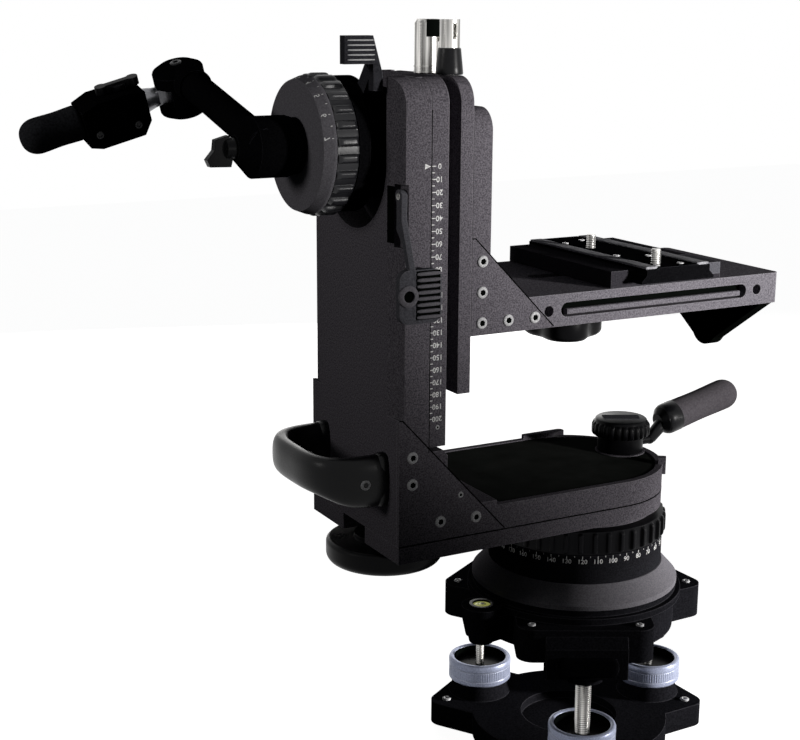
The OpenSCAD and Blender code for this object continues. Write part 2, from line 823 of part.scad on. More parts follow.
module lock_lever() {
  x0 = (lever_slot[0] + lever_slot[1] - lever_arm_t) / 2;
  color("#5d5f64") from_column() difference() {
    union() {
      translate([x0, 0, 0]) across(0, lever_arm_t) {
        translate([lever_pin_y, lever_z]) circle(5.2);
        translate([lever_pin_y - 5, lever_z - 26]) square([8, 26]);
        polygon([
          [lever_pin_y - 5, lever_z - 18], [lever_pin_y + 3, lever_z - 26], [-half - 1, lever_z - 37],
          [-half - 9, lever_z - 60], [-half - 13, lever_z - 55]
        ]);
      }
      along(-half - 14, -half - 8) round_box([-8, lever_z - 96], [29, lever_z - 54], 8);
    }
    translate([0, lever_pin_y, lever_z]) bar_x(lever_pin_r + run_fit, 0, lever_slot[1]);
  }
}

module lock_pin() {
  color("#b4b7bb") from_column() translate([0, lever_pin_y, lever_z])
    bar_x(lever_pin_r, lever_slot[0], lever_slot[1] + lever_pin_grip - 0.1);
}

// Tilting parts
module tilt_shaft() {
  color("#b4b7bb") from_tilt() {
    bar_x(shaft_r, face_x - face_t + 3, swing_x);
    bar_x(shaft_r + 14, carriage_x + carriage_t + slide_gap, swing_x);
  }
}

module drum_face() {
  color("#3b3d41") from_tilt() difference() {
    translate([face_x, 0, 0]) rotate([0, -90, 0]) {
      cylinder(r = drum_r + 0.5, h = 2);
      translate([0, 0, 2]) cylinder(r1 = drum_r + 0.5, r2 = face_r, h = face_t - 2);
    }
    bar_x(shaft_r + seat_fit, face_x - face_t + 3, 0);
  }
}

module bar_rosette() {
  color("#1b1c1e") from_tilt() {
    bar_x(rosette_r, rosette_x, rosette_x + rosette_t);
    bar_x(rosette_pin_r, rosette_x - rosette_pin_h, rosette_x);
  }
}

// Section of a cradle guide rail, its mouth at x = 0 and its head towards -X
cradle_rail_y = 45;
cradle_rail_back = 9;
cradle_neck = 10;
cradle_head = 18;

module cradle_rail(g) {
  neck_d = swing_t * 0.35;
  translate([-neck_d - g, -cradle_neck / 2 - g]) square([neck_d + g + eps, cradle_neck + 2 * g]);
  translate([-2 * neck_d - g, -cradle_head / 2 - g]) square([neck_d + 2 * g, cradle_head + 2 * g]);
}

module swing_plate() {
  color("#55575c") from_column() difference() {
    across(swing_x, swing_x + swing_t) upright_face(swing_low, column_h, top_corner);
    for (s = [-1, 1]) translate([riser_x, s * cradle_rail_y, swing_low - eps])
      linear_extrude(column_h) cradle_rail(slide_gap);
    for (y = post_y) translate([swing_x + swing_t / 2, y, column_h - 12])
      cylinder(r = post_pin_r + run_fit, h = 13);
  }
}

post_y = [-15, -50];
post_pin_r = 3.5;
post_r = 9;
top_post_r = 10.5;
post_h = 42;

module at_post(i) {
  from_column() translate([swing_x + swing_t / 2, post_y[i], column_h]) children();
}

module top_post() {
  color("#c9cbce") at_post(0) {
    translate([0, 0, -11]) cylinder(r = post_pin_r, h = 11 + eps);
    difference() {
      union() {
        translate([0, 0, slide_gap]) cylinder(r = top_post_r, h = post_h - 3);
        translate([0, 0, post_h - 3 + slide_gap]) cylinder(r1 = top_post_r, r2 = top_post_r - 2, h = 3);
      }
      translate([3, -top_post_r - 1, post_h - 17]) cube([6, top_post_r, 12]);
    }
  }
}

module lock_plunger() {
  color("#c9cbce") at_post(1) {
    translate([0, 0, -11]) cylinder(r = post_pin_r, h = 11 + eps);
    translate([0, 0, slide_gap]) cylinder(r1 = post_r + 1, r2 = post_r - 1, h = 20);
    translate([0, 0, 20 + slide_gap]) difference() {
      cylinder(r = post_r - 1, h = post_h - 20);
      translate([-1.5, -post_r, post_h - 35]) cube([3, 5, 12]);
    }
  }
}

// Cradle
module riser() {
  color("#5b5d62") from_column() difference() {
    union() {
      across(riser_x, platform_x) upright_face(platform_z, riser_top, top_corner - 3);
      for (s = [-1, 1]) translate([riser_x, s * cradle_rail_y, platform_z + 4])
        linear_extrude(riser_top - platform_z - 4 - cradle_rail_back) cradle_rail(0);
    }
    gusset_cut(riser_x, cradle_gusset_x, cradle_gusset_z, platform_z);
  }
}

module upper_gussets() {
  color("#606267") from_column() gusset_pair(riser_x, cradle_gusset_x, cradle_gusset_z, platform_z);
}

slide_slot_half = 8;
slide_travel = 30;
knob_stem_r = 6;

module platform() {
  pill_mid = (platform_x + platform_end) / 2 + 16;
  pill_z = platform_z + platform_t / 2;
  color("#606267") from_column() difference() {
    translate([0, 0, platform_z]) linear_extrude(platform_t) {
      round_box([platform_end - 60, -half], [platform_end, half], 5);
      translate([platform_x, -half]) square([platform_end - platform_x - 30, depth]);
    }
    gusset_cut(riser_x, cradle_gusset_x, cradle_gusset_z, platform_z);
    for (s = [-1, 1]) {
      along(s * half - 14, s * half + 14)
        round_box([pill_mid - pill_len / 2, pill_z - pill_h / 2],
          [pill_mid + pill_len / 2, pill_z + pill_h / 2], pill_h / 2 - 0.01);
      for (x = [pill_mid - pill_len / 2 - 12, pill_mid + pill_len / 2 + 12])
        translate([x, s * half, pill_z]) rotate([90, 0, 0]) cylinder(r = 4.5, h = 28, center = true);
    }
    // Slot for the cross slide's stem
    translate([0, 0, platform_z - eps]) linear_extrude(platform_t + 2 * eps)
      round_box([knob_x - slide_travel - slide_slot_half, -slide_slot_half],
        [knob_x + slide_travel + slide_slot_half, slide_slot_half], slide_slot_half - 0.01);
    // Hollow underside
    for (s = [-1, 1]) translate([0, 0, platform_z - eps]) linear_extrude(platform_t - 6 + eps)
      round_box([platform_x + 30, s * 38 - 20], [platform_end - bracket_t - 16, s * 38 + 20], 8);
  }
}

module end_bracket() {
  x0 = platform_end - bracket_t - 4;
  tip_z = platform_z - bracket_drop + bracket_tip;
  side_y = bracket_tip * 0.82;
  color("#1c1d1f") from_column() difference() {
    union() {
      across(x0, x0 + bracket_t) polygon([
        [-half + 2, platform_z], [half - 2, platform_z], [side_y, tip_z - bracket_tip * 0.55],
        [-side_y, tip_z - bracket_tip * 0.55]
      ]);
      translate([0, 0, tip_z]) bar_x(bracket_tip, x0, x0 + bracket_t);
    }
    translate([0, 0, tip_z]) bar_x(bracket_hole_r, x0 - eps, x0 + bracket_t + eps);
  }
}
bracket_hole_r = 5;

dove = 5;
plate_low = 4;

// Section of the camera plate in X and Z: a dovetail under a flat table
module plate_section(g) {
  w = plate_w / 2;
  polygon([
    [-w - g, -g], [w + g, -g], [w + g, 2 + g], [w - dove + g, 2 + dove + g],
    [w - dove + g, cam_plate_t + g], [-w + dove - g, cam_plate_t + g],
    [-w + dove - g, 2 + dove + g], [-w - g, 2 + g]
  ]);
}

module plate_clamp() {
  color("#232427") from_column() difference() {
    translate([clamp_mid - clamp_w / 2, -half + 1, clamp_z + slide_gap]) cube([clamp_w, depth - 2, clamp_h]);
    translate([clamp_mid, 0, clamp_z + slide_gap + plate_low])
      along(-half - eps, half + eps) plate_section(slide_gap);
    translate([clamp_mid + plate_w / 2 - dove - 2, -half, clamp_z + slide_gap + plate_low])
      cube([clamp_w, 46, clamp_h]);
    translate([knob_x, 0, clamp_z]) cylinder(r = knob_stem_r + run_fit, h = 4.5);
  }
}

module clamp_jaw() {
  x0 = clamp_mid + plate_w / 2 + slide_gap;
  x1 = clamp_mid + clamp_w / 2;
  z0 = clamp_z + slide_gap;
  color("#a4a6aa") from_column() along(-half + 1, -half + 45) polygon([
    [x0 + slide_gap, z0 + plate_low], [x1, z0 + plate_low], [x1, z0 + clamp_h],
    [x0 - dove + 1, z0 + clamp_h], [x0 - dove + 1, z0 + plate_low + 8.5], [x0 + slide_gap, z0 + plate_low + 3]
  ]);
}

knob_off = 3;
knob_lobe = 12;
knob_turn = 1.4;

module platform_knob() {
  top = platform_z - slide_gap;
  color("#1b1c1e") from_column() translate([knob_x, 0, 0]) {
    translate([0, 0, top - knob_off]) {
      cylinder(r = knob_stem_r, h = clamp_z + slide_gap + 4 - top + knob_off);
      cylinder(r = knob_stem_r + 10, h = knob_off);
      translate([0, 0, -knob_h]) linear_extrude(knob_h) {
        circle(knob_r * 0.72);
        for (a = [0:120:240]) rotate(a + knob_turn) translate([knob_r - knob_lobe, 0]) circle(knob_lobe);
      }
    }
  }
}

screw_y = [20, -74];
screw_dx = -9;
screw_head_r = 8;
screw_head_h = 4.5;
shank_r = cam_screw_r - 0.5;
pad_y = -5;
pad_w = 12;
pad_off = 27;

module at_plate() {
  from_column() translate([clamp_mid, 0, clamp_z + slide_gap + plate_low]) children();
}

module camera_plate() {
  color("#1d1e20") at_plate() difference() {
    along(pad_y - plate_len / 2, pad_y + plate_len / 2) plate_section(0);
    for (y = screw_y) translate([screw_dx, y, -eps]) {
      cylinder(r = shank_r + run_fit, h = cam_plate_t + 2 * eps);
      cylinder(r = screw_head_r + slide_gap, h = screw_head_h + 1.5 + eps);
    }
    for (s = [-1, 1])
      translate([s * pad_off - pad_w / 2 - seat_fit, pad_y - plate_len / 2 - eps, cam_plate_t - pad_t / 2])
        cube([pad_w + 2 * seat_fit, plate_len + 2 * eps, pad_t]);
  }
}

module plate_pads() {
  color("#8b8d91") at_plate() for (s = [-1, 1])
    translate([s * pad_off - pad_w / 2, pad_y - plate_len / 2 + 2, cam_plate_t - pad_t / 2])
      cube([pad_w, plate_len - 4, pad_t]);
}

module camera_screw(i) {
  color("#c9cbce") at_plate() translate([screw_dx, screw_y[i], 1]) {
    cylinder(r = screw_head_r, h = screw_head_h);
    cylinder(r = shank_r, h = cam_plate_t);
    translate([0, 0, cam_plate_t - 1 + slide_gap]) cylinder(r = cam_screw_r, h = cam_screw_h);
  }
}

// Pan bar's tube, along +Y from beside the tilt axis
tube_up = 7;

module tube_frame() {
  from_tilt() translate([tube_x, 0, tube_up]) rotate([bar_tilt, 0, 0]) children();
}

// Pan bar's second arm, drawn from its elbow along -X
elbow_drop = 11;

module bar_frame() {
  tube_frame() translate([0, bar_len, -elbow_drop]) rotate([0, bar_roll, 0]) children();
}

// A round bar along +Y
module bar_y(r, y0, y1) {
  translate([0, y1, 0]) rotate([90, 0, 0]) cylinder(r = r, h = y1 - y0);
}

hub_r = 24;
hub_bevel = 13;
hub_tip_r = 10;
tube_in = 16;
elbow_r = 22;
elbow_half = 17;
elbow_pin_r = 5;
tube_end = 24;
collar_t = 2;
collar_back = 10;
wing_pin_r = 4;
wing_pin_in = 5;
hub_x = tube_x - bar_r - 6;

module bar_clamp() {
  color("#1b1c1e") difference() {
    from_tilt() rotate([0, 90, 0]) rotate_extrude() polygon([
      [0, hub_x], [hub_tip_r, hub_x], [hub_r, hub_x + hub_bevel], [hub_r, rosette_x - slide_gap],
      [0, rosette_x - slide_gap]
    ]);
    tube_frame() bar_y(bar_r + seat_fit, -tube_in, bar_len);
    from_tilt() bar_x(wing_pin_r + run_fit, hub_x - eps, hub_x + wing_pin_in);
    from_tilt() bar_x(rosette_pin_r + run_fit, rosette_x - rosette_pin_h - 1, 0);
  }
}

module bar_tube() {
  color("#222326") tube_frame() difference() {
    bar_y(bar_r, -tube_in, bar_len - tube_end);
    bar_y(bar_r - 2.5, -tube_in - eps, bar_len - tube_end - 18);
  }
}

module bar_elbow() {
  color("#1d1e20") difference() {
    union() {
      bar_frame() translate([0, 0, -elbow_half]) cylinder(r = elbow_r, h = 2 * elbow_half);
      tube_frame() bar_y(bar_r + collar_t, bar_len - tube_end - 8, bar_len - collar_back);
    }
    tube_frame() bar_y(bar_r + seat_fit, bar_len - tube_end - 9, bar_len - tube_end);
    bar_frame() {
      translate([-elbow_r - 1, -bar_r - 4, -7]) cube([elbow_r + 13, elbow_r + 20, 14]);
      translate([0, 0, -elbow_half - eps])
        cylinder(r = elbow_pin_r + run_fit, h = 2 * elbow_half + 2 * eps);
    }
  }
}

// Wing screw of the clamp, on the tilt axis
module bar_wing() {
  color("#26282b") from_tilt() {
    bar_x(wing_pin_r, hub_x - 4, hub_x + wing_pin_in - slide_gap);
    bar_x(hub_tip_r - 2, hub_x - 8, hub_x - slide_gap);
    translate([hub_x, 0, 0]) along(-3.5, 3.5) polygon([
      [-2, -6], [-4, -14], [-21, -13.5], [-23.5, -8], [-17.5, -1], [-16.5, 7], [-5.5, 10], [-2, 6]
    ]);
  }
}

// Second arm of the pan bar: it turns on the elbow's pin
module bar_cone() {
  color("#c9cbce") bar_frame() {
    translate([0, 0, -elbow_half + 1]) cylinder(r = elbow_pin_r, h = 2 * elbow_half - 2);
    translate([0, 0, -6.5]) cylinder(r = 10, h = 13);
    translate([-elbow_r - 2, -6, -6.5]) cube([elbow_r + 2, 12, 13]);
    translate([-elbow_r - 14, 0, 0]) rotate([0, 90, 0]) cylinder(r1 = 11, r2 = 8, h = 13);
  }
}

block_x = [-92, -36];

module bar_block() {
  color("#1b1c1e") bar_frame() difference() {
    along(-16, 16) polygon([
      [block_x[1], 14], [block_x[1] - 14, 17], [block_x[0] + 14, 17], [block_x[0], 12],
      [block_x[0], -19], [block_x[0] + 10, -23], [block_x[1] - 8, -23], [block_x[1], -12]
    ]);
    bar_x(rod_r + seat_fit, block_x[0] - eps, block_x[1] - 10);
    translate([block_x[0] + 38, 0, 4]) cylinder(r = wing_pin_r + run_fit, h = 20);
  }
}
rod_r = 9;

module bar_rod() {
  color("#2a2b2e") bar_frame() bar_x(rod_r, block_x[0] - 20, block_x[1] - 10.1);
}

module bar_grip() {
  color("#8b8d91") bar_frame() difference() {
    union() {
      bar_x(grip_r, block_x[0] - grip_len + grip_r, block_x[0] - 1);
      translate([block_x[0] - grip_len + grip_r, 0, 0]) sphere(r = grip_r);
    }
    bar_x(rod_r + seat_fit, block_x[0] - 20.1, block_x[0]);
  }
}

module block_wing() {
  color("#2f3134") bar_frame() translate([block_x[0] + 38, 0, 17 + slide_gap]) {
    translate([0, 0, -6]) cylinder(r = wing_pin_r, h = 8);
    cylinder(r = 7, h = 5);
    linear_extrude(7) {
      translate([-14, -3]) square([28, 6]);
      for (s = [-1, 1]) translate([s * 14, 0]) circle(5);
    }
  }
}

base_plate();
wheel_ring(0);  // wheel_ring_1
wheel_ring(1);  // wheel_ring_2
wheel_ring(2);  // wheel_ring_3
wheel_hub(0);  // wheel_hub_1
wheel_hub(1);  // wheel_hub_2
wheel_hub(2);  // wheel_hub_3
upper_casting();
levelling_screws();
vial_cup();
level_vial();
pan_cone();
degree_ring();
pan_bearings();
pan_drag_ring();
pan_spindle();
arm_plate();
arm_tray();
column();
lower_gussets();
carrying_handle();
side_knob();
arm_knob();
stub_link();
stub_grip();
carriage();
tilt_housing();
tilt_bearings();
lock_lever();
lock_pin();
tilt_drag_ring();
brake_lever();
tilt_shaft();
drum_face();
bar_rosette();
swing_plate();
top_post();
lock_plunger();
riser();
upper_gussets();
platform();
end_bracket();
plate_clamp();
clamp_jaw();
platform_knob();
camera_plate();
plate_pads();
camera_screw(0);  // camera_screw_1
camera_screw(1);  // camera_screw_2
bar_clamp();
bar_tube();
bar_elbow();
bar_wing();
bar_cone();
bar_block();
bar_rod();
bar_grip();
block_wing();
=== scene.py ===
"""Dress of a fluid video head: finishes, marks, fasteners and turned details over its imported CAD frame."""

import json
from math import cos, pi, radians, sin

import bmesh
import bpy
import numpy as np
from mathutils import Matrix, Vector


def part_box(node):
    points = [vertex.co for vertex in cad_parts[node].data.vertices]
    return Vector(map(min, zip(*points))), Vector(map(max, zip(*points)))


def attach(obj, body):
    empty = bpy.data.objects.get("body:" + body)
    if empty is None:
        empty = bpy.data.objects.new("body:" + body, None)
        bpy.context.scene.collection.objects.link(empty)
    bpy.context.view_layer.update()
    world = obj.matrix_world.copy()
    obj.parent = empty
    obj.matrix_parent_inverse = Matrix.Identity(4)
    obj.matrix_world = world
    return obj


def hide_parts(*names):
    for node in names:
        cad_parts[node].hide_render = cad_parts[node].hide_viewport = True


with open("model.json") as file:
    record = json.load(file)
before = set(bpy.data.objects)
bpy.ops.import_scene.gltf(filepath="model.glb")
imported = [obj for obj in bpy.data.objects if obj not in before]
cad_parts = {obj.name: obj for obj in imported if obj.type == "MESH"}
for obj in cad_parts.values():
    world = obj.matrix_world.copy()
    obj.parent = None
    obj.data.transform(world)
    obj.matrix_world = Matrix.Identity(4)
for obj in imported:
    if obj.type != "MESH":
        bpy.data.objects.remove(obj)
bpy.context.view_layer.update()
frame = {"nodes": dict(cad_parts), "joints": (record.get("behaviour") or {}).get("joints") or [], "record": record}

bl_info = {
    "name": "Fluid video head dress",
    "version": (1, 0, 0),
    "blender": (4, 5, 0),
    "location": "3D View > Sidebar > Head",
    "description": "Finishes, scales, fasteners, knobs and grips for a jointed fluid video head",
    "category": "Object",
}

# Places are in metres in the frame. Sizes of the drawn details are in millimetres.
MM = 0.001
JOINTS = {joint["name"]: joint for joint in frame["joints"]}
SLOTS = {part["node"]: part["material_slot"] for part in frame["record"]["subparts"]}
COLUMN_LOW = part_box("column")[0]
CORNER = np.array([COLUMN_LOW.x, 0.0, COLUMN_LOW.z])
HALF = -COLUMN_LOW.y / MM
X, Y, Z = np.eye(3)
UPRIGHT = (X, Y, Z)
SIDEWAYS = (Y, Z, X)
SIDES = (-1, 1)


def joint_at(name):
    return np.array(JOINTS[name]["pos_m"])


def foot_of(name):
    """Where a joint's upright axis meets the floor."""
    return joint_at(name) * [1, 1, 0]


def box_mm(node):
    """A CAD node's lowest and highest corner, in millimetres."""
    return [np.array(corner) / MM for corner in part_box(node)]


def column_box(node):
    """The same corners, measured as on_column takes them."""
    return [(np.array(corner) - CORNER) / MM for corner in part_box(node)]


def on_column(points):
    """Millimetres from the column's outer face, its mid depth and the arm's seam, to metres in the frame."""
    return CORNER + np.asarray(points, float) * MM


# The pan bar's own directions: along its grip, across it, and along the elbow's axis
BAR_Z = np.array(JOINTS["elbow_turn"]["axis"])
BAR_X = joint_at("elbow_turn") - joint_at("block_wing_turn")
BAR_X -= BAR_Z * (BAR_X @ BAR_Z)
BAR_X /= np.linalg.norm(BAR_X)
BAR_Y = np.cross(BAR_Z, BAR_X)

# The carriage's rails reach this deep into the column, and the casting's seat lifts the cone this high
RAIL_DEPTH = 13.0
RAIL_SEAM = column_box("carriage")[0][0] + RAIL_DEPTH
SEAT_HEIGHT = 12.0
CASTING_TOP = box_mm("pan_cone")[0][2] - SEAT_HEIGHT
# Ink stands this far off its face, and a thin dark line this far
INK = 0.12
PROUD = 0.05


# Surfaces: every new piece is one or more grids of points


def turned(profile, count, centre, axes, shape=None):
    """Surface of revolution: centre + r cos(t) u + r sin(t) v + h w, over the profile's (r, h) and angle t.

    shape(r, t, h) may change the radius, for flutes, teeth and flats.
    """
    profile = np.asarray(profile, float)
    turn = np.linspace(0.0, 2 * pi, count, endpoint=False)[None, :]
    reach = np.repeat(profile[:, :1], count, axis=1)
    height = np.repeat(profile[:, 1:], count, axis=1)
    if shape is not None:
        reach = shape(reach, turn, height)
    u, v, w = axes
    flat = (reach * np.cos(turn))[..., None] * u + (reach * np.sin(turn))[..., None] * v
    return np.asarray(centre) + (flat + height[..., None] * w) * MM, False, True


def swept(path, section, normal):
    """Profile carried along a path: p(s) + a side(s) + b normal, with side = tangent x normal.

    The section's rows (a, b) are closed, and the end rings shrink onto the path's ends.
    """
    path = np.asarray(path, float)
    section = np.asarray(section, float)
    tangent = np.gradient(path, axis=0)
    tangent /= np.linalg.norm(tangent, axis=1, keepdims=True)
    side = np.cross(tangent, normal)
    side /= np.linalg.norm(side, axis=1, keepdims=True)
    if section.ndim == 2:
        section = np.repeat(section[None], len(path), axis=0)
    rings = path[:, None] + section[..., :1] * side[:, None] * MM + section[..., 1:] * np.asarray(normal) * MM
    first, last = (np.repeat(ring.mean(0)[None], len(ring), axis=0)[None] for ring in (rings[0], rings[-1]))
    return np.concatenate([first, rings, last]), False, True


def rounded(half_a, half_b, power, count=40):
    """Closed superellipse |a / half_a| ** power + |b / half_b| ** power = 1, as rows (a, b)."""
    turn = np.linspace(0.0, 2 * pi, count, endpoint=False)
    c, s = np.cos(turn), np.sin(turn)
    return np.stack([half_a * np.sign(c) * abs(c) ** (2 / power),
                     half_b * np.sign(s) * abs(s) ** (2 / power)], axis=1)


def band(inner, outer, low, high):
    """Closed rectangular profile of a ring, as rows (r, h)."""
    return [[inner, low], [outer, low], [outer, high], [inner, high], [inner, low]]


def changed(reach, rows, change):
    """Radii with the given rows of the profile changed."""
    out = reach.copy()
    out[rows] = change(reach[rows])
    return out


def hexed(start):
    """Radius rule of a hex socket: from the row number start on, r becomes r / cos of a hexagon's angle."""
    def shape(reach, turn, height):
        flat = (turn + pi / 6) % (pi / 3) - pi / 6
        return changed(reach, slice(start, None), lambda r: r / np.cos(flat))
    return shape


def threaded(radius, depth, pitch, low, high, centre):
    """Screw thread: r = radius - depth |2 frac(h / pitch - t / 2 pi) - 1|, fading out at both ends."""
    rows = int((high - low) / pitch * 8) + 1
    side = np.stack([np.full(rows, radius), np.linspace(low, high, rows)], axis=1)
    profile = np.concatenate([[[0.0, low]], side, [[0.0, high]]])

    def shape(reach, turn, h):
        wave = abs(2 * ((h / pitch - turn / (2 * pi)) % 1.0) - 1)
        inside = np.minimum(h - low, high - h) / pitch
        fade = np.clip(inside, 0.0, 1.0)
        edge = np.clip(inside / 0.6, 0.0, 1.0)
        return np.where(reach > 0, reach - depth * (wave * fade + 1.0 - edge), 0.0)
    return turned(profile, 36, centre, UPRIGHT, shape)


def grid_faces(rows, columns, wrap_rows, wrap_columns):
    """Quads between neighbouring rows and columns of a grid, joined round where it wraps."""
    i = np.arange(rows if wrap_rows else rows - 1)[:, None]
    j = np.arange(columns if wrap_columns else columns - 1)[None, :]
    down, right = (i + 1) % rows, (j + 1) % columns
    corners = [i * columns + j, i * columns + right, down * columns + right, down * columns + j]
    return np.stack(corners, axis=-1).reshape(-1, 4)


def new_piece(name, mesh, body, finish, replaced=()):
    piece = bpy.data.objects.new(name, mesh)
    bpy.context.scene.collection.objects.link(piece)
    mesh.materials.append(finish_named(finish))
    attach(piece, body)
    if replaced:
        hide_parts(*replaced)
    return piece


def shell(name, surfaces, body, finish, replaced=(), sharp=38.0):
    """One piece from several grids, with doubles merged, faces pointing out and sharp edges kept."""
    points, faces, start = [], [], 0
    for grid, wrap_rows, wrap_columns in surfaces:
        rows, columns = grid.shape[:2]
        points.append(grid.reshape(-1, 3))
        faces.append(grid_faces(rows, columns, wrap_rows, wrap_columns) + start)
        start += rows * columns
    mesh = bpy.data.meshes.new(name)
    mesh.from_pydata(np.concatenate(points).tolist(), [], np.concatenate(faces).tolist())
    work = bmesh.new()
    work.from_mesh(mesh)
    bmesh.ops.remove_doubles(work, verts=work.verts, dist=2e-6)
    bmesh.ops.dissolve_degenerate(work, edges=work.edges, dist=1e-6)
    bmesh.ops.recalc_face_normals(work, faces=work.faces)
    work.to_mesh(mesh)
    work.free()
    mesh.shade_smooth()
    mesh.set_sharp_from_angle(angle=radians(sharp))
    return new_piece(name, mesh, body, finish, replaced)


def gap(name, surfaces, body, sharp=38.0):
    """A dark joint line, or painted shade in a recess, hole or socket: thin, and too dark to show its form."""
    shell(name, surfaces, body, GAP_BLACK, sharp=sharp)


def inked(name, corners, words, body):
    """Printed marks as one flat mesh: four-cornered ticks, and numerals that a place function maps."""
    points = [np.asarray(corners, float).reshape(-1, 3)]
    faces = np.arange(len(points[0])).reshape(-1, 4).tolist()
    start = len(points[0])
    for text, height, place in words:
        outline, polygons = glyphs(text)
        points.append(place(outline[:, 0] * height, outline[:, 1] * height))
        faces += [[index + start for index in polygon] for polygon in polygons]
        start += len(outline)
    mesh = bpy.data.meshes.new(name)
    mesh.from_pydata(np.concatenate(points).tolist(), [], faces)
    new_piece(name, mesh, body, "screen print, white ink")


GLYPHS = {}
# The built-in font's numerals are 1 / 1.38 of its size high, and are drawn this much bolder
GLYPH_SCALE = 1.38
GLYPH_BOLDER = 0.014


def glyphs(text):
    """Outline points and faces of a word, one unit high and centred, made a mesh from the built-in font."""
    if text not in GLYPHS:
        curve = bpy.data.curves.new("word", "FONT")
        curve.body, curve.align_x, curve.align_y, curve.resolution_u = text, "CENTER", "CENTER", 3
        curve.offset = GLYPH_BOLDER
        word = bpy.data.objects.new("word", curve)
        bpy.context.scene.collection.objects.link(word)
        mesh = bpy.data.meshes.new_from_object(word.evaluated_get(bpy.context.evaluated_depsgraph_get()))
        flat = np.array([vertex.co for vertex in mesh.vertices])
        GLYPHS[text] = flat[:, :2] * GLYPH_SCALE, [list(polygon.vertices) for polygon in mesh.polygons]
        bpy.data.objects.remove(word)
        bpy.data.curves.remove(curve)
        bpy.data.meshes.remove(mesh)
    return GLYPHS[text]


# Finishes: each maker adds its pattern nodes and returns what goes into the shader's sockets


def linear(hex_colour):
    """sRGB hex to linear RGB: c / 12.92 below 0.04045, else ((c + 0.055) / 1.055) ** 2.4."""
    srgb = np.array([int(hex_colour[i:i + 2], 16) for i in (1, 3, 5)]) / 255.0
    return tuple(np.where(srgb <= 0.04045, srgb / 12.92, ((srgb + 0.055) / 1.055) ** 2.4))


def rgba(hex_colour):
    return (*linear(hex_colour), 1.0)


def add(tree, kind, inputs=None, **settings):
    """Adds a node, sets its settings, and sets or links its inputs."""
    made = tree.nodes.new(kind)
    for key, value in settings.items():
        setattr(made, key, value)
    for key, value in (inputs or {}).items():
        if isinstance(value, bpy.types.NodeSocket):
            tree.links.new(value, made.inputs[key])
        else:
            made.inputs[key].default_value = value
    return made


def pitch_of(millimetres):
    """Scale of a pattern on Object coordinates whose features are this wide."""
    return 1 / (millimetres * MM)


def metal_coat(tree, where, look, dark, light):
    """Coated or anodised metal: fine speckle in the colour, slow gloss clouds, pale edges of wear and painted
    highlight.
    """
    grain = pitch_of(look["grain"])
    speck = add(tree, "ShaderNodeTexNoise", {"Vector": where, "Scale": grain, "Detail": 2.0})
    cloud = add(tree, "ShaderNodeTexNoise", {"Vector": where, "Scale": pitch_of(45), "Detail": 3.0})
    tint = add(tree, "ShaderNodeMapRange", {
        "Value": speck.outputs["Fac"], "From Min": 0.32, "From Max": 0.68})
    body = add(tree, "ShaderNodeMix", {0: tint.outputs["Result"], 6: dark, 7: light}, data_type="RGBA")
    soft = add(tree, "ShaderNodeBevel", {"Radius": look["edge"] * MM}, samples=4)
    true = add(tree, "ShaderNodeNewGeometry").outputs["Normal"]
    bend = add(tree, "ShaderNodeVectorMath", {0: soft.outputs["Normal"], 1: true}, operation="DOT_PRODUCT")
    # Paler edges, partly wear and partly painted highlight: the colour goes pale where the rounded normal bends
    # from the true one
    worn = add(tree, "ShaderNodeMapRange", {
        "Value": bend.outputs["Value"], "From Min": 0.995, "From Max": 0.86, "To Max": look["wear"]})
    colour = add(tree, "ShaderNodeMix", {
        0: worn.outputs["Result"], 6: body.outputs[2], 7: rgba(look["worn"])}, data_type="RGBA").outputs[2]
    # Painted shade: black round a joint's axis, for a finish that has a core
    if "core" in look:
        colour = black_core(tree, where, colour, *look["core"])
    gloss = add(tree, "ShaderNodeMapRange", {
        "Value": cloud.outputs["Fac"], "From Min": 0.3, "From Max": 0.7, "To Min": look["rough"] - 0.06,
        "To Max": look["rough"] + 0.06})
    relief = add(tree, "ShaderNodeBump", {"Height": speck.outputs["Fac"], "Normal": soft.outputs["Normal"],
                                          "Strength": look["relief"], "Distance": 0.25 * MM})
    return {"Base Color": colour, "Roughness": gloss.outputs["Result"], "Normal": relief.outputs["Normal"],
            "Metallic": look["metal"], "Specular IOR Level": look["spec"]}


def black_core(tree, where, colour, joint, reach):
    """Painted shade: black within a reach in mm of a joint's axis along X: a step in the distance hypot(y - y0, z
    - z0).
    """
    from_axis = add(tree, "ShaderNodeVectorMath", {0: where, 1: tuple(joint_at(joint))}, operation="SUBTRACT")
    flat = add(tree, "ShaderNodeVectorMath", {0: from_axis.outputs["Vector"], 1: (0.0, 1.0, 1.0)},
               operation="MULTIPLY")
    away = add(tree, "ShaderNodeVectorMath", {0: flat.outputs["Vector"]}, operation="LENGTH")
    share = add(tree, "ShaderNodeMapRange", {"Value": away.outputs["Value"], "From Min": reach * MM,
                                             "From Max": (reach + 1.0) * MM})
    return add(tree, "ShaderNodeMix", {0: share.outputs["Result"], 6: rgba("#060607"), 7: colour},
               data_type="RGBA").outputs[2]


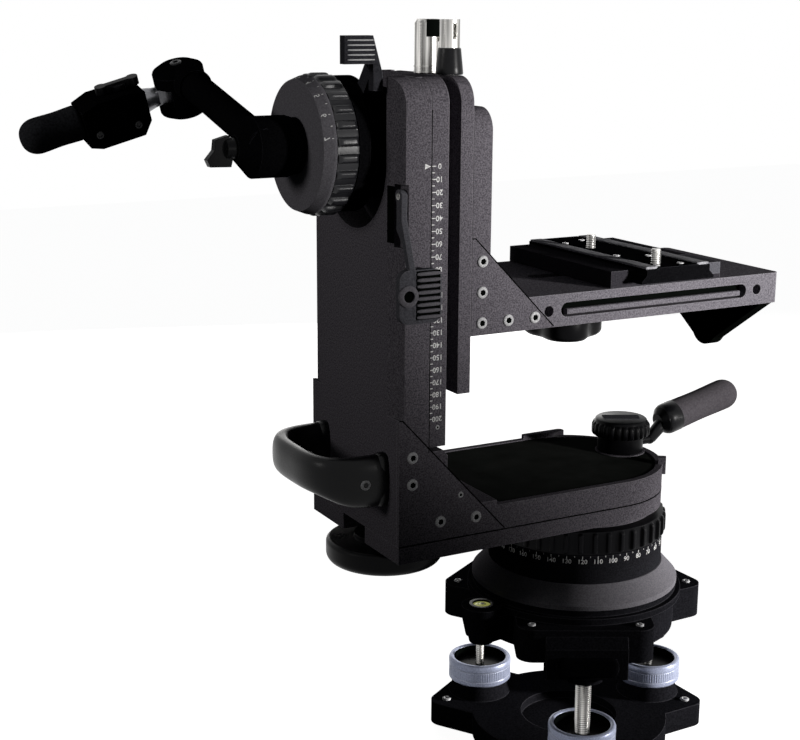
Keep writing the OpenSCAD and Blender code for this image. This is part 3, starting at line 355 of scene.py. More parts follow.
def turned_metal(tree, where, look, dark, light):
    """Bare metal off a lathe: fine tool rings across the axis, and soft light and dark streaks along it, painted
    reflections.
    """
    rings = add(tree, "ShaderNodeTexWave", {
        "Vector": where, "Scale": pitch_of(look["grain"]) / (2 * pi), "Distortion": 0.4, "Detail": 2.0},
        bands_direction="Z")
    # Painted reflections: noise stretched along the axis streaks the colour light and dark, and varies the gloss
    drawn = add(tree, "ShaderNodeMapping", {"Vector": where, "Scale": (1.0, 1.0, 0.04)})
    reflection_streaks = add(tree, "ShaderNodeTexNoise", {"Vector": drawn.outputs["Vector"], "Scale": pitch_of(4),
                                             "Detail": 2.0})
    gloss = add(tree, "ShaderNodeMapRange", {
        "Value": reflection_streaks.outputs["Fac"], "From Min": 0.3, "From Max": 0.7, "To Min": look["rough"] - 0.05,
        "To Max": look["rough"] + 0.08})
    tint = add(tree, "ShaderNodeMapRange", {
        "Value": reflection_streaks.outputs["Fac"], "From Min": 0.38, "From Max": 0.62})
    colour = add(tree, "ShaderNodeMix", {0: tint.outputs["Result"], 6: dark, 7: light}, data_type="RGBA")
    soft = add(tree, "ShaderNodeBevel", {"Radius": look["edge"] * MM}, samples=4)
    relief = add(tree, "ShaderNodeBump", {"Height": rings.outputs["Fac"], "Normal": soft.outputs["Normal"],
                                          "Strength": look["relief"], "Distance": 0.1 * MM})
    return {"Base Color": colour.outputs[2], "Roughness": gloss.outputs["Result"],
            "Normal": relief.outputs["Normal"], "Metallic": 1.0}


def moulded(tree, where, look, dark, light):
    """Moulded polymer: a leathery spark-eroded grain, slow gloss clouds, edges a little polished by hands."""
    grain = add(tree, "ShaderNodeTexVoronoi", {"Vector": where, "Scale": pitch_of(look["grain"])})
    cloud = add(tree, "ShaderNodeTexNoise", {"Vector": where, "Scale": pitch_of(30), "Detail": 3.0})
    colour = add(tree, "ShaderNodeMix", {0: cloud.outputs["Fac"], 6: dark, 7: light}, data_type="RGBA")
    gloss = add(tree, "ShaderNodeMapRange", {
        "Value": cloud.outputs["Fac"], "From Min": 0.3, "From Max": 0.7, "To Min": look["rough"] - 0.07,
        "To Max": look["rough"] + 0.07})
    soft = add(tree, "ShaderNodeBevel", {"Radius": look["edge"] * MM}, samples=4)
    relief = add(tree, "ShaderNodeBump", {
        "Height": grain.outputs["Distance"], "Normal": soft.outputs["Normal"], "Strength": look["relief"],
        "Distance": 0.2 * MM})
    return {"Base Color": colour.outputs[2], "Roughness": gloss.outputs["Result"],
            "Normal": relief.outputs["Normal"], "Specular IOR Level": look["spec"]}


def foamed(tree, where, look, dark, light):
    """Closed-cell foam: rounded cells as a dull dimpled skin, paler where cells are cut open."""
    cells = add(tree, "ShaderNodeTexVoronoi", {"Vector": where, "Scale": pitch_of(look["grain"])},
                feature="SMOOTH_F1")
    speck = add(tree, "ShaderNodeTexNoise", {"Vector": where, "Scale": pitch_of(0.9), "Detail": 3.0})
    tint = add(tree, "ShaderNodeMath", {0: cells.outputs["Distance"], 1: speck.outputs["Fac"]},
               operation="MULTIPLY")
    reach = add(tree, "ShaderNodeMapRange", {
        "Value": tint.outputs["Value"], "From Min": 0.08, "From Max": 0.4})
    colour = add(tree, "ShaderNodeMix", {0: reach.outputs["Result"], 6: light, 7: dark}, data_type="RGBA")
    relief = add(tree, "ShaderNodeBump", {"Height": cells.outputs["Distance"], "Strength": look["relief"],
                                          "Distance": 0.3 * MM}, invert=True)
    return {"Base Color": colour.outputs[2], "Roughness": look["rough"], "Normal": relief.outputs["Normal"],
            "Specular IOR Level": look["spec"], "Sheen Weight": 0.05, "Sheen Roughness": 0.5}


def printed(tree, where, look, dark, light):
    """Screen-printed ink: thin and matt, with small breaks where it has worn."""
    worn = add(tree, "ShaderNodeTexNoise", {"Vector": where, "Scale": pitch_of(2.5), "Detail": 3.0})
    fade = add(tree, "ShaderNodeMapRange", {"Value": worn.outputs["Fac"], "From Min": 0.35, "From Max": 0.5})
    colour = add(tree, "ShaderNodeMix", {0: fade.outputs["Result"], 6: dark, 7: light}, data_type="RGBA")
    return {"Base Color": colour.outputs[2], "Roughness": look["rough"], "Specular IOR Level": 0.3}


def tinted(tree, where, look, dark, light):
    """Clear acrylic over a dyed spirit: smooth, with a slow drift in the dye, and a painted glow in the dye's
    colour.
    """
    drift = add(tree, "ShaderNodeTexNoise", {"Vector": where, "Scale": pitch_of(6), "Detail": 1.0})
    colour = add(tree, "ShaderNodeMix", {0: drift.outputs["Fac"], 6: dark, 7: light},
                 data_type="RGBA").outputs[2]
    # Painted glow: the dye's colour is emitted as well as reflected
    return {"Base Color": colour, "Roughness": 0.2, "IOR": 1.49, "Specular IOR Level": 0.15,
            "Emission Color": colour, "Emission Strength": 0.3}


CAST_BLACK = "cast aluminium, black powder coat"
CHARCOAL = "milled aluminium, charcoal anodised"
DARK_GREY = "milled aluminium, dark grey anodised"
PLATFORM_GREY = "milled aluminium, grey anodised"
TURNED_BLACK = "turned aluminium, black anodised"
TURNED_GLOSS = "turned aluminium, gloss black"
TURNED_GREY = "turned aluminium, grey anodised"
BLUE_GREY = "turned aluminium, blue-grey anodised"
LEVER_GREY = "bead-blasted aluminium, grey anodised"
STEEL = "turned stainless steel"
SCREW_STEEL = "plated screw steel"
NYLON = "glass-filled nylon, moulded black"
NYLON_POLISHED = "glass-filled nylon, polished black"
RUBBER = "nitrile rubber, moulded black"
GAP_BLACK = "dead matt black"
FOAM_GREY = "neoprene foam, grey"
VIAL = "acrylic vial, yellow-green spirit"

# Each finish: how it is made, its sRGB colours, and sizes in millimetres. A powder coat's grain is about
# 0.3 mm and bead blasting's about 0.1 mm. Both are drawn at 0.9 to 1.6 mm, because finer grain doesn't show.
COAT = {"make": metal_coat, "grain": 1.2, "edge": 0.8, "wear": 0.5, "relief": 0.35, "metal": 0.0, "spec": 0.0}
MOULD = {"make": moulded, "grain": 1.2, "edge": 0.9, "relief": 0.15, "spec": 0.05}
FOAM = {"make": foamed, "grain": 1.8, "rough": 0.9, "relief": 0.3, "spec": 0.0}
FINISHES = {
    # A pebbled near-black that greys along its soft edges, partly wear and partly painted highlight
    CAST_BLACK: dict(
        COAT, dark="#131316", light="#222226", worn="#5f5e64", rough=0.7, grain=1.5, edge=1.3, relief=0.5),
    # A warm mid grey with a salt-and-pepper speckle, and pale edges of wear and painted highlight
    CHARCOAL: dict(COAT, dark="#48454b", light="#7a767d", worn="#b4b1b8", rough=0.7),
    # The same speckle, half as light
    DARK_GREY: dict(COAT, dark="#262529", light="#3b393e", worn="#8a888f", rough=0.7),
    # The same speckle, a little lighter
    PLATFORM_GREY: dict(COAT, dark="#524f55", light="#827f86", worn="#bcbac0", rough=0.7),
    # Smooth and almost black, with thin grey edges of wear and painted highlight
    TURNED_BLACK: dict(
        COAT, dark="#09090b", light="#131315", worn="#4d4d53", rough=0.5, relief=0.2, edge=0.7),
    # Smooth, dull and one step lighter than black
    "turned aluminium, satin black": dict(
        COAT, dark="#1d1d20", light="#2b2b2f", worn="#5a5a60", rough=0.6, relief=0.15),
    # Black with soft bright streaks of reflected light
    TURNED_GLOSS: dict(
        COAT, dark="#0a0a0c", light="#141417", worn="#4a4a52", rough=0.28, relief=0.1, edge=0.9, spec=0.14),
    # An even, dull mid grey
    TURNED_GREY: dict(COAT, dark="#646267", light="#7b797f", worn="#a8a7ad", rough=0.6, relief=0.15),
    # Pale bare metal with a wide soft shine
    "turned aluminium, bright": dict(
        COAT, dark="#8f8f93", light="#a9a9ad", worn="#d9d9dc", rough=0.3, relief=0.1, metal=0.5, spec=0.2),
    # Pale metal with a cool blue cast and near-white edges of wear and painted highlight
    BLUE_GREY: dict(
        COAT, dark="#9097b0", light="#b2b9d0", worn="#eceff6", rough=0.35, relief=0.15, edge=0.7, metal=0.3,
        spec=0.1),
    # A dull frosted grey
    LEVER_GREY: dict(COAT, dark="#48484d", light="#606066", worn="#94949a", rough=0.6, edge=1.0),
    # The same frost, darker, and painted shade: black round the brake's axis, where the drum shades the collar
    "bead-blasted aluminium, painted shade at the hub": dict(
        COAT, dark="#2d2d31", light="#3f3f44", worn="#7a7a80", rough=0.6, edge=1.0,
        core=("brake_swing", 57.0)),
    # Bright rods with painted reflections: light and dark bands along them
    STEEL: {"make": turned_metal, "dark": "#7a7977", "light": "#e6e4e0", "rough": 0.3, "grain": 0.6,
            "relief": 0.25, "edge": 0.5},
    # Small bright heads with white rims, painted highlights and wear
    SCREW_STEEL: dict(
        COAT, dark="#a2a2a4", light="#dcdcde", worn="#ffffff", rough=0.35, grain=0.9, relief=0.2, edge=0.9,
        wear=1.0, spec=0.1),
    # Deep black with a faint leathery shine
    NYLON: dict(MOULD, dark="#050506", light="#0d0d0f", rough=0.33, relief=0.1, edge=1.2),
    # Deep black with a clear highlight along its curves
    NYLON_POLISHED: dict(MOULD, dark="#070708", light="#101012", rough=0.3, relief=0.08, edge=1.6, spec=0.12),
    # Soft black that holds almost no highlight
    "nitrile rubber, dull black": dict(MOULD, dark="#0c0c0e", light="#18181b", rough=0.4, grain=1.4),
    # Black ribs with a silky highlight
    RUBBER: dict(MOULD, dark="#141417", light="#242428", rough=0.32, grain=1.4, spec=0.3),
    # A black without any shine, for dark joints, the end bracket, and painted shade in recesses
    GAP_BLACK: dict(
        MOULD, dark="#050706", light="#0c0e0c", rough=0.9, grain=1.6, relief=0.3, edge=0.4, spec=0.0),
    # The same, a little lighter, as painted light on the tray's top
    "neoprene mat, grey as painted light": dict(
        MOULD, dark="#1e201e", light="#3a3c3a", rough=0.9, grain=1.6, relief=0.3, edge=0.4, spec=0.0),
    # A dry grey skin with fine pores
    FOAM_GREY: dict(FOAM, dark="#565257", light="#666267", relief=0.2),
    # The same skin in black
    "neoprene foam, black": dict(FOAM, dark="#2a2b2e", light="#404145"),
    # Pale granular strips
    "cork-rubber strip, grey": dict(FOAM, dark="#85858a", light="#a6a6ab", grain=2.2),
    # Crisp white marks with a few worn breaks
    "screen print, white ink": {"make": printed, "dark": "#d2d2d2", "light": "#fbfbfa", "rough": 0.6},
    # A small yellow-green disc with a painted glow
    VIAL: {"make": tinted, "dark": "#c3c64a", "light": "#f0f2a0"},
}


def finish_named(name):
    """A finish's material, made with its nodes the first time it is asked for."""
    found = bpy.data.materials.get(name)
    if found is None:
        found = bpy.data.materials.new(name)
        found.use_nodes = True
        tree = found.node_tree
        tree.nodes.clear()
        where = add(tree, "ShaderNodeTexCoord").outputs["Object"]
        look = FINISHES[name]
        inputs = look["make"](tree, where, look, rgba(look["dark"]), rgba(look["light"]))
        shader = add(tree, "ShaderNodeBsdfPrincipled", inputs)
        add(tree, "ShaderNodeOutputMaterial", {"Surface": shader.outputs["BSDF"]})
    return found


# Which finish each CAD slot wears
SLOT_FINISH = {
    "cast_black": CAST_BLACK, "charcoal": CHARCOAL, "platform_grey": PLATFORM_GREY,
    "drum_black": TURNED_BLACK, "drag_rubber": RUBBER, "wheel_blue": BLUE_GREY, "black_plastic": NYLON,
    "steel": STEEL, "lever_grey": LEVER_GREY, "tube_black": TURNED_BLACK, "foam": FOAM_GREY,
    "vial_metal": STEEL, "vial_green": VIAL,
}

# Nodes that look different from the rest of their slot
NODE_FINISH = {
    "pan_cone": TURNED_GREY, "drum_face": TURNED_GREY, "degree_ring": "turned aluminium, satin black",
    "end_bracket": GAP_BLACK, "vial_cup": NYLON, "brake_lever": "bead-blasted aluminium, painted shade at the hub",
    "bar_cone": "turned aluminium, bright", "plate_clamp": DARK_GREY, "bar_clamp": TURNED_BLACK,
    "bar_elbow": TURNED_BLACK, "bar_block": TURNED_BLACK,
}


class HeadSizes(bpy.types.PropertyGroup):
    """Sizes of the drawn details that a user would change."""

    number_height: bpy.props.FloatProperty(
        name="Number height", description="Height of the column scale's numerals",
        default=4.4 * MM, min=2 * MM, max=7 * MM, unit="LENGTH")
    degree_height: bpy.props.FloatProperty(
        name="Degree height", description="Height of the degree ring's numerals",
        default=4.2 * MM, min=2 * MM, max=6 * MM, unit="LENGTH")
    bolt_radius: bpy.props.FloatProperty(
        name="Bolt radius", description="Radius of the gusset bolts' heads",
        default=4.9 * MM, min=3 * MM, max=7 * MM, unit="LENGTH")
    thread_pitch: bpy.props.FloatProperty(
        name="Thread pitch", description="Pitch of the levelling screws",
        default=2.0 * MM, min=1 * MM, max=3 * MM, unit="LENGTH")
    pan_ribs: bpy.props.IntProperty(
        name="Pan ribs", description="Ribs around the pan drag ring", default=40, min=12, max=80)
    tilt_ribs: bpy.props.IntProperty(
        name="Tilt ribs", description="Ribs around the tilt drag ring", default=26, min=12, max=60)
    knob_flutes: bpy.props.IntProperty(
        name="Knob flutes", description="Flutes around the arm knob", default=26, min=8, max=60)


class HeadColours(bpy.types.PropertyGroup):
    """Colours of the stage."""

    floor: bpy.props.FloatVectorProperty(
        name="Floor", description="Colour of the floor", subtype="COLOR", size=3, default=linear("#f4f4f4"),
        min=0.0, max=1.0)
    lamp: bpy.props.FloatVectorProperty(
        name="Lamp", description="Colour of the studio lamps", subtype="COLOR", size=3,
        default=linear("#fffdfb"), min=0.0, max=1.0)


def sizes():
    return bpy.context.scene.head_sizes


# The view that was worked out from the photograph: place in metres, then turn, dip and roll
CAMERA_PLACE = (-0.7760, -1.0843, 0.67285)
CAMERA_ANGLES = radians(28.611), radians(13.536), radians(0.325)
CAMERA_LENS = 68.15
SENSOR_WIDTH = 36.0
FLOOR_REACH = 4.0
FLOOR_DROP = 0.0005
# Each lamp: kind, place and target in metres, size in metres, power in watts, and a spot's spread in degrees
LAMPS = {
    "key_spot": ("SPOT", (0.70, -1.45, 0.58), (0.13, -0.08, 0.60), 0.08, 186.0, 31.0),
    "base_spot": ("SPOT", (1.12, -0.86, 0.29), (0.15, -0.08, 0.11), 0.06, 148.0, 17.0),
    "left_fill": ("SPOT", (-1.9, 0.05, 1.00), (-0.24, 0.0, 0.54), 0.25, 23.0, 28.0),
    "back_fill": ("AREA", (0.6, 1.8, 0.55), (0.0, 0.0, 0.42), 1.2, 8.0, None),
}


class HEAD_OT_stage(bpy.types.Operator):
    """Camera, pale floor, white surround and lamps"""

    bl_idname = "head.stage"
    bl_label = "Stage"

    def execute(self, context):
        scene = context.scene
        scene.view_settings.view_transform = "Standard"
        self.camera(scene)
        self.floor(scene)
        self.surround(scene)
        for name, values in LAMPS.items():
            self.lamp(scene, name, *values)
        return {"FINISHED"}

    def camera(self, scene):
        """Axes from the three angles: ahead by turn and dip, then right and up rolled about ahead."""
        turn, dip, roll = CAMERA_ANGLES
        ahead = Vector((sin(turn) * cos(dip), cos(turn) * cos(dip), -sin(dip)))
        right = Vector((cos(turn), -sin(turn), 0.0))
        up = right.cross(ahead)
        level = right * cos(roll) + up * sin(roll)
        upright = up * cos(roll) - right * sin(roll)
        data = bpy.data.cameras.new("camera")
        data.sensor_fit, data.sensor_width, data.lens = "HORIZONTAL", SENSOR_WIDTH, CAMERA_LENS
        data.clip_start = 0.05
        eye = bpy.data.objects.new("camera", data)
        eye.matrix_world = Matrix.Translation(CAMERA_PLACE) @ Matrix(
            (level, upright, -ahead)).transposed().to_4x4()
        scene.collection.objects.link(eye)
        scene.camera = eye

    def floor(self, scene):
        """Flat square just under z = 0 on a coarse grid, white to the camera but for the object's shadow."""
        count = 9
        side = np.linspace(-FLOOR_REACH, FLOOR_REACH, count)
        across, deep = np.meshgrid(side, side)
        points = np.stack([across, deep, np.full_like(across, -FLOOR_DROP)], axis=-1)
        mesh = bpy.data.meshes.new("floor")
        mesh.from_pydata(points.reshape(-1, 3).tolist(), [], grid_faces(count, count, False, False).tolist())
        floor = bpy.data.objects.new("floor", mesh)
        scene.collection.objects.link(floor)
        # Paper is dull to the object's own light, so that it throws little of it back
        paper = bpy.data.materials.new("matt paper sweep")
        paper.use_nodes = True
        tree = paper.node_tree
        tree.nodes.clear()
        dull = add(tree, "ShaderNodeBsdfDiffuse", {"Color": (0.12, 0.12, 0.12, 1.0)})
        pale = add(tree, "ShaderNodeBsdfDiffuse", {"Color": (*scene.head_colours.floor, 1.0)})
        glow = add(tree, "ShaderNodeEmission", {"Strength": 0.96})
        lit = add(tree, "ShaderNodeAddShader", {0: pale.outputs[0], 1: glow.outputs[0]})
        both = add(tree, "ShaderNodeMixShader", {0: self.seen(tree), 1: dull.outputs[0], 2: lit.outputs[0]})
        add(tree, "ShaderNodeOutputMaterial", {"Surface": both.outputs[0]})
        mesh.materials.append(paper)

    def seen(self, tree):
        """1 for rays from the camera, or by way of a mirror or glass, else 0."""
        rays = add(tree, "ShaderNodeLightPath").outputs
        two = add(tree, "ShaderNodeMath", {0: rays["Is Camera Ray"], 1: rays["Is Glossy Ray"]},
                  operation="MAXIMUM")
        return add(tree, "ShaderNodeMath", {0: two.outputs[0], 1: rays["Is Transmission Ray"]},
                   operation="MAXIMUM").outputs[0]

    def surround(self, scene):
        """White to the camera and in reflections, and a dim cool light on the object."""
        world = bpy.data.worlds.new("white surround")
        world.use_nodes = True
        tree = world.node_tree
        tree.nodes.clear()
        dim = add(tree, "ShaderNodeBackground", {"Color": (0.9, 0.95, 1.0, 1.0), "Strength": 0.022})
        white = add(tree, "ShaderNodeBackground", {"Color": (1.0, 1.0, 1.0, 1.0), "Strength": 1.0})
        both = add(tree, "ShaderNodeMixShader", {0: self.seen(tree), 1: dim.outputs[0], 2: white.outputs[0]})
        add(tree, "ShaderNodeOutputWorld", {"Surface": both.outputs[0]})
        scene.world = world

    def lamp(self, scene, name, kind, place, target, size, power, spread):
        data = bpy.data.lights.new(name, kind)
        data.energy, data.color = power, scene.head_colours.lamp
        if kind == "SPOT":
            data.spot_size, data.spot_blend, data.shadow_soft_size = radians(spread), 1.0, size
        else:
            data.size = size
        lamp = bpy.data.objects.new(name, data)
        lamp.location = place
        lamp.rotation_euler = (Vector(target) - Vector(place)).to_track_quat("-Z", "Y").to_euler()
        scene.collection.objects.link(lamp)


class HEAD_OT_finishes(bpy.types.Operator):
    """Gives every CAD node the finish of its slot, or its own"""

    bl_idname = "head.finishes"
    bl_label = "Finishes"

    def execute(self, context):
        for name, node in frame["nodes"].items():
            node.data.materials.clear()
            node.data.materials.append(finish_named(NODE_FINISH.get(name, SLOT_FINISH[SLOTS[name]])))
        return {"FINISHED"}


def tick(place, half_width, low, high):
    """Four corners of a tick, set by a place function."""
    return place(np.array([-1, 1, 1, -1]) * half_width, np.array([low, low, high, high]))


class HEAD_OT_scales(bpy.types.Operator):
    """Height scale on the carriage, its pointer, the degree ring's numbers and the drum's numbers"""

    bl_idname = "head.scales"
    bl_label = "Scales"

    def execute(self, context):
        self.height_scale()
        self.degree_scale()
        self.drum_scale()
        return {"FINISHED"}

    def height_scale(self):
        """Ticks every 5 mm beside the seam, and numerals every 10 mm turned half round.

        A numeral's outline (a, b) goes to x0 - a and z0 - n - b on the front face.
        """
        front = -HALF - INK
        zero_height, end = 303.3, 200
        half_tick, tick_start, number_start = 0.35, 0.5, 7.0
        marks = np.arange(0, end + 1, 5)
        left = np.full(len(marks), RAIL_SEAM + tick_start)
        right = left + np.where(marks % 10 == 0, 3.4, 2.2)
        low, high = zero_height - marks - half_tick, zero_height - marks + half_tick
        y = np.full(len(marks), front)
        ticks = on_column(np.stack([np.stack(corner, axis=-1) for corner in (
            (left, y, low), (right, y, low), (right, y, high), (left, y, high))], axis=1))

        def half_round(n):
            return lambda a, b: on_column(np.stack(
                [RAIL_SEAM + number_start - a, a * 0 + front, zero_height - n - b], axis=-1))
        tall = sizes().number_height / MM
        words = [(str(n), tall, half_round(n)) for n in range(0, end + 1, 10)]
        inked("height_scale", ticks, words, "carriage")
        tip, base, half = RAIL_SEAM - 0.8, RAIL_SEAM - 6.0, 2.2
        point = on_column([[[base, front, zero_height - half], [tip, front, zero_height],
                            [tip, front, zero_height], [base, front, zero_height + half]]])
        inked("height_pointer", point, [], "arm")

    def degree_scale(self):
        """Numerals and ticks wrapped on the ring: p = (R cos t, R sin t, z + b) with t = t0 + a / R."""
        low, high = box_mm("degree_ring")
        radius = high[0] + INK
        tall = sizes().degree_height / MM
        hundred_at, number_height, tick_height = 259.9, 20.6, 25.8

        def wrap(angle, height):
            return lambda a, b: np.stack([radius * np.cos(radians(angle) + a / radius),
                                          radius * np.sin(radians(angle) + a / radius),
                                          low[2] + height + b], axis=-1) * MM
        words = [(str(n), tall, wrap(hundred_at + 100 - n, number_height)) for n in range(0, 360, 10)]
        ticks = np.concatenate([tick(wrap(hundred_at + n, tick_height), 0.3, -1.3 if n % 10 else -2.6, 0.0)
                                for n in range(0, 360, 5)])
        inked("degree_numbers", ticks, words, "leveller")

    def drum_scale(self):
        """Numerals on the drum's cone, wrapped round its axis: t = t0 - a / r, with r rising along it."""
        low, high = box_mm("drum_face")
        centre = joint_at("tilt_turn") / MM
        far, near = low[0], high[0] - 2.0
        outer = (high[2] - low[2]) / 2
        inner = outer - 3.0
        zero_at, end = -60, 140

        def cone(angle, height, way=1):
            def place(a, b):
                along = height + way * b
                radius = inner + (outer - inner) * along / (near - far) + INK
                turn = radians(zero_at + angle) - way * a / radius
                return np.stack([far + along, centre[1] - radius * np.sin(turn),
                                 centre[2] + radius * np.cos(turn)], axis=-1) * MM
            return place
        words = [(str(n // 20), 4.2, cone(n, 3.0, -1)) for n in range(0, end + 1, 20)]
        ticks = np.concatenate([tick(cone(n, 0.0), 0.3, 6.2, 7.6) for n in range(0, end + 1, 10)])
        inked("drum_numbers", ticks, words, "tilt")


def bolt_axes(axis):
    """A bolt's own directions, its hexagon turned the same way on every face."""
    side = np.cross(axis, [0.3, 0.2, 0.9])
    side /= np.linalg.norm(side)
    return side, np.cross(axis, side), np.asarray(axis, float)


def socket_bolt(radius, height, place, axis):
    """Button-head bolt: a low dome of revolution whose inner rows become a hexagon and drop as its socket."""
    bore = radius * 0.46
    profile = [[radius, -0.3], [radius, height * 0.35], [radius * 0.94, height * 0.72],
               [radius * 0.8, height], [bore * 1.25, height], [bore, height * 0.95], [bore, 0.15], [0.0, 0.1]]
    return turned(profile, 36, place, bolt_axes(axis), hexed(5))


def socket_fill(radius, height, place, axis):
    """Painted shade in a bolt's socket: a black hexagonal plug that stops a little under the rim."""
    bore, top = radius * 0.455, height * 0.62
    return turned([[0.0, 0.0], [bore, 0.0], [bore, top], [0.0, top]], 36, place, bolt_axes(axis), hexed(0))


class HEAD_OT_fasteners(bpy.types.Operator):
    """Bolts of the gussets, screws of the castings and small screws"""

    bl_idname = "head.fasteners"
    bl_label = "Fasteners"

    def execute(self, context):
        radius = sizes().bolt_radius / MM
        lower = [(12.0, 73.6), (12.0, 51.2), (38.2, 16.3), (71.8, 15.2)]
        upper = [(74.0, 226.5), (74.0, 201.6), (74.0, 177.0), (99.0, 177.0), (124.5, 177.0)]
        self.rows("lower_gusset_bolts", lower, radius, 1.5, "arm")
        self.rows("upper_gusset_bolts", upper, radius, 1.5, "cradle")
        self.rows("seam_screws", [(57.0, 36.3)], 2.6, 0.8, "arm")
        self.rows("carriage_screws", [(34.5, 96.0)], 1.9, 0.6, "carriage")
        self.lobes("casting_screws", 96.0, 47.0, CASTING_TOP, 3.6, 1.4, "leveller")
        cup_height = 14.0
        plate_top = box_mm("base_plate")[1][2] - cup_height
        self.lobes("base_screws", 112.0, 36.0, plate_top, 4.2, 1.6, "base")
        return {"FINISHED"}

    def rows(self, name, places, radius, height, body):
        """A bolt, and painted shade in its socket, on both faces at each place (x, z) on the column."""
        heads, socket_shades = [], []
        for x, z in places:
            for face in SIDES:
                bolt = radius, height, on_column([x, face * HALF, z]), face * Y
                heads.append(socket_bolt(*bolt))
                socket_shades.append(socket_fill(*bolt))
        shell(name, heads, body, SCREW_STEEL)
        # Painted shade: black plugs in the sockets
        gap(name + "_socket_shade", socket_shades, body)

    def lobes(self, name, along, across, top, radius, height, body):
        """Two screws on each of the three lobes, in the lobe's own directions."""
        x, y, _ = joint_at("wheel_1_turn")
        heads = []
        for k in range(3):
            t = np.arctan2(y, x) + k * 2 * pi / 3
            for side in (-across, across):
                spot = np.array([along * cos(t) - side * sin(t), along * sin(t) + side * cos(t), top]) * MM
                heads.append(socket_bolt(radius, height, spot, Z))
        shell(name, heads, body, SCREW_STEEL)


class HEAD_OT_joint_lines(bpy.types.Operator):
    """Dark lines where the gussets, the arm's halves and the column's halves meet"""

    bl_idname = "head.joint_lines"
    bl_label = "Joint lines"

    def execute(self, context):
        self.gusset("lower_gusset_lines", "lower_gussets", "arm")
        self.gusset("upper_gusset_lines", "upper_gussets", "cradle")
        self.column()
        self.arm()
        return {"FINISHED"}

    def both_faces(self, name, places, half_width, body):
        """Flat ribbons, 0.2 mm deep, along straight runs between places (x, z) on the front and the back."""
        runs = []
        for face in SIDES:
            points = [[x, face * (HALF + PROUD), z] for x, z in places]
            runs += [swept(on_column(np.linspace(start, end, 4)), rounded(half_width, 0.1, 6.0, 12), Y)
                     for start, end in zip(points[:-1], points[1:])]
        gap(name, runs, body)

    def gusset(self, name, node, body):
        """Sloping edge of the gusset, from 1 mm over its foot's end to 3 mm beside its top."""
        (x0, _, z0), (x1, _, z1) = column_box(node)
        self.both_faces(name, [(x1, z0 + 1.0), (x0 + 3.0, z1), (x0, z1)], 0.5, body)

    def column(self):
        """Upright line over the rails' seam, from the gussets to the rounded top."""
        gusset_top, rounding = 76.0, 24.0
        top = column_box("carriage")[1][2] - rounding
        self.both_faces("column_lines", [(RAIL_SEAM, gusset_top), (RAIL_SEAM, top)], 0.4, "arm")

    def arm(self):
        """Joint of the tray and the arm plate: straight sides and the half circle (a + R sin t, -R cos t)."""
        radius = HALF + PROUD
        straight = column_box("arm_tray")[1][0] - HALF
        t = np.linspace(0.0, pi, 60)
        front = np.stack([np.linspace(0.5, straight - 2.0, 12), np.full(12, -radius), np.zeros(12)], axis=1)
        bend = np.stack([straight + radius * np.sin(t), -radius * np.cos(t), np.zeros(60)], axis=1)
        path = np.concatenate([front, bend, front[::-1] * [1, -1, 1]])
        gap("arm_line", [swept(on_column(path), rounded(0.1, 0.6, 6.0, 12), Z)], "arm", 60.0)


class HEAD_OT_screws(bpy.types.Operator):
    """Threaded levelling screws and camera screws"""

    bl_idname = "head.screws"
    bl_label = "Threaded screws"

    def execute(self, context):
        self.levelling()
        for k in (1, 2):
            self.camera(k)
        return {"FINISHED"}

    def levelling(self):
        """Three rods, each with the radius of the CAD node's points nearest its wheel."""
        low, high = box_mm("levelling_screws")
        pitch = sizes().thread_pitch / MM
        points = np.array([vertex.co for vertex in frame["nodes"]["levelling_screws"].data.vertices])
        rods = []
        for k in (1, 2, 3):
            spot = foot_of("wheel_%d_turn" % k)
            away = np.hypot(points[:, 0] - spot[0], points[:, 1] - spot[1]) / MM
            rods.append(threaded(away[away < 20.0].max(), 0.45 * pitch, pitch, low[2], high[2], spot))
        shell("levelling_threads", rods, "leveller", STEEL, ["levelling_screws"], 60.0)

    def camera(self, k):
        """A threaded stud over a flat turned head."""
        spot = foot_of("screw_%d_turn" % k)
        foot, top = (corner[2] for corner in box_mm("camera_screw_%d" % k))
        radius, long = 4.2, 12.0
        stud = threaded(radius, 0.6, 1.6, top - long, top, spot)
        head = turned([[0, foot], [7.4, foot], [8, foot + 0.6], [8, foot + 4], [7.6, foot + 4.5],
                       [radius, foot + 4.5], [radius, top - 11.9], [0, top - 11.9]], 40, spot, UPRIGHT)
        shell("camera_thread_%d" % k, [stud, head], "screw_%d" % k, STEEL,
              ["camera_screw_%d" % k], 50.0)


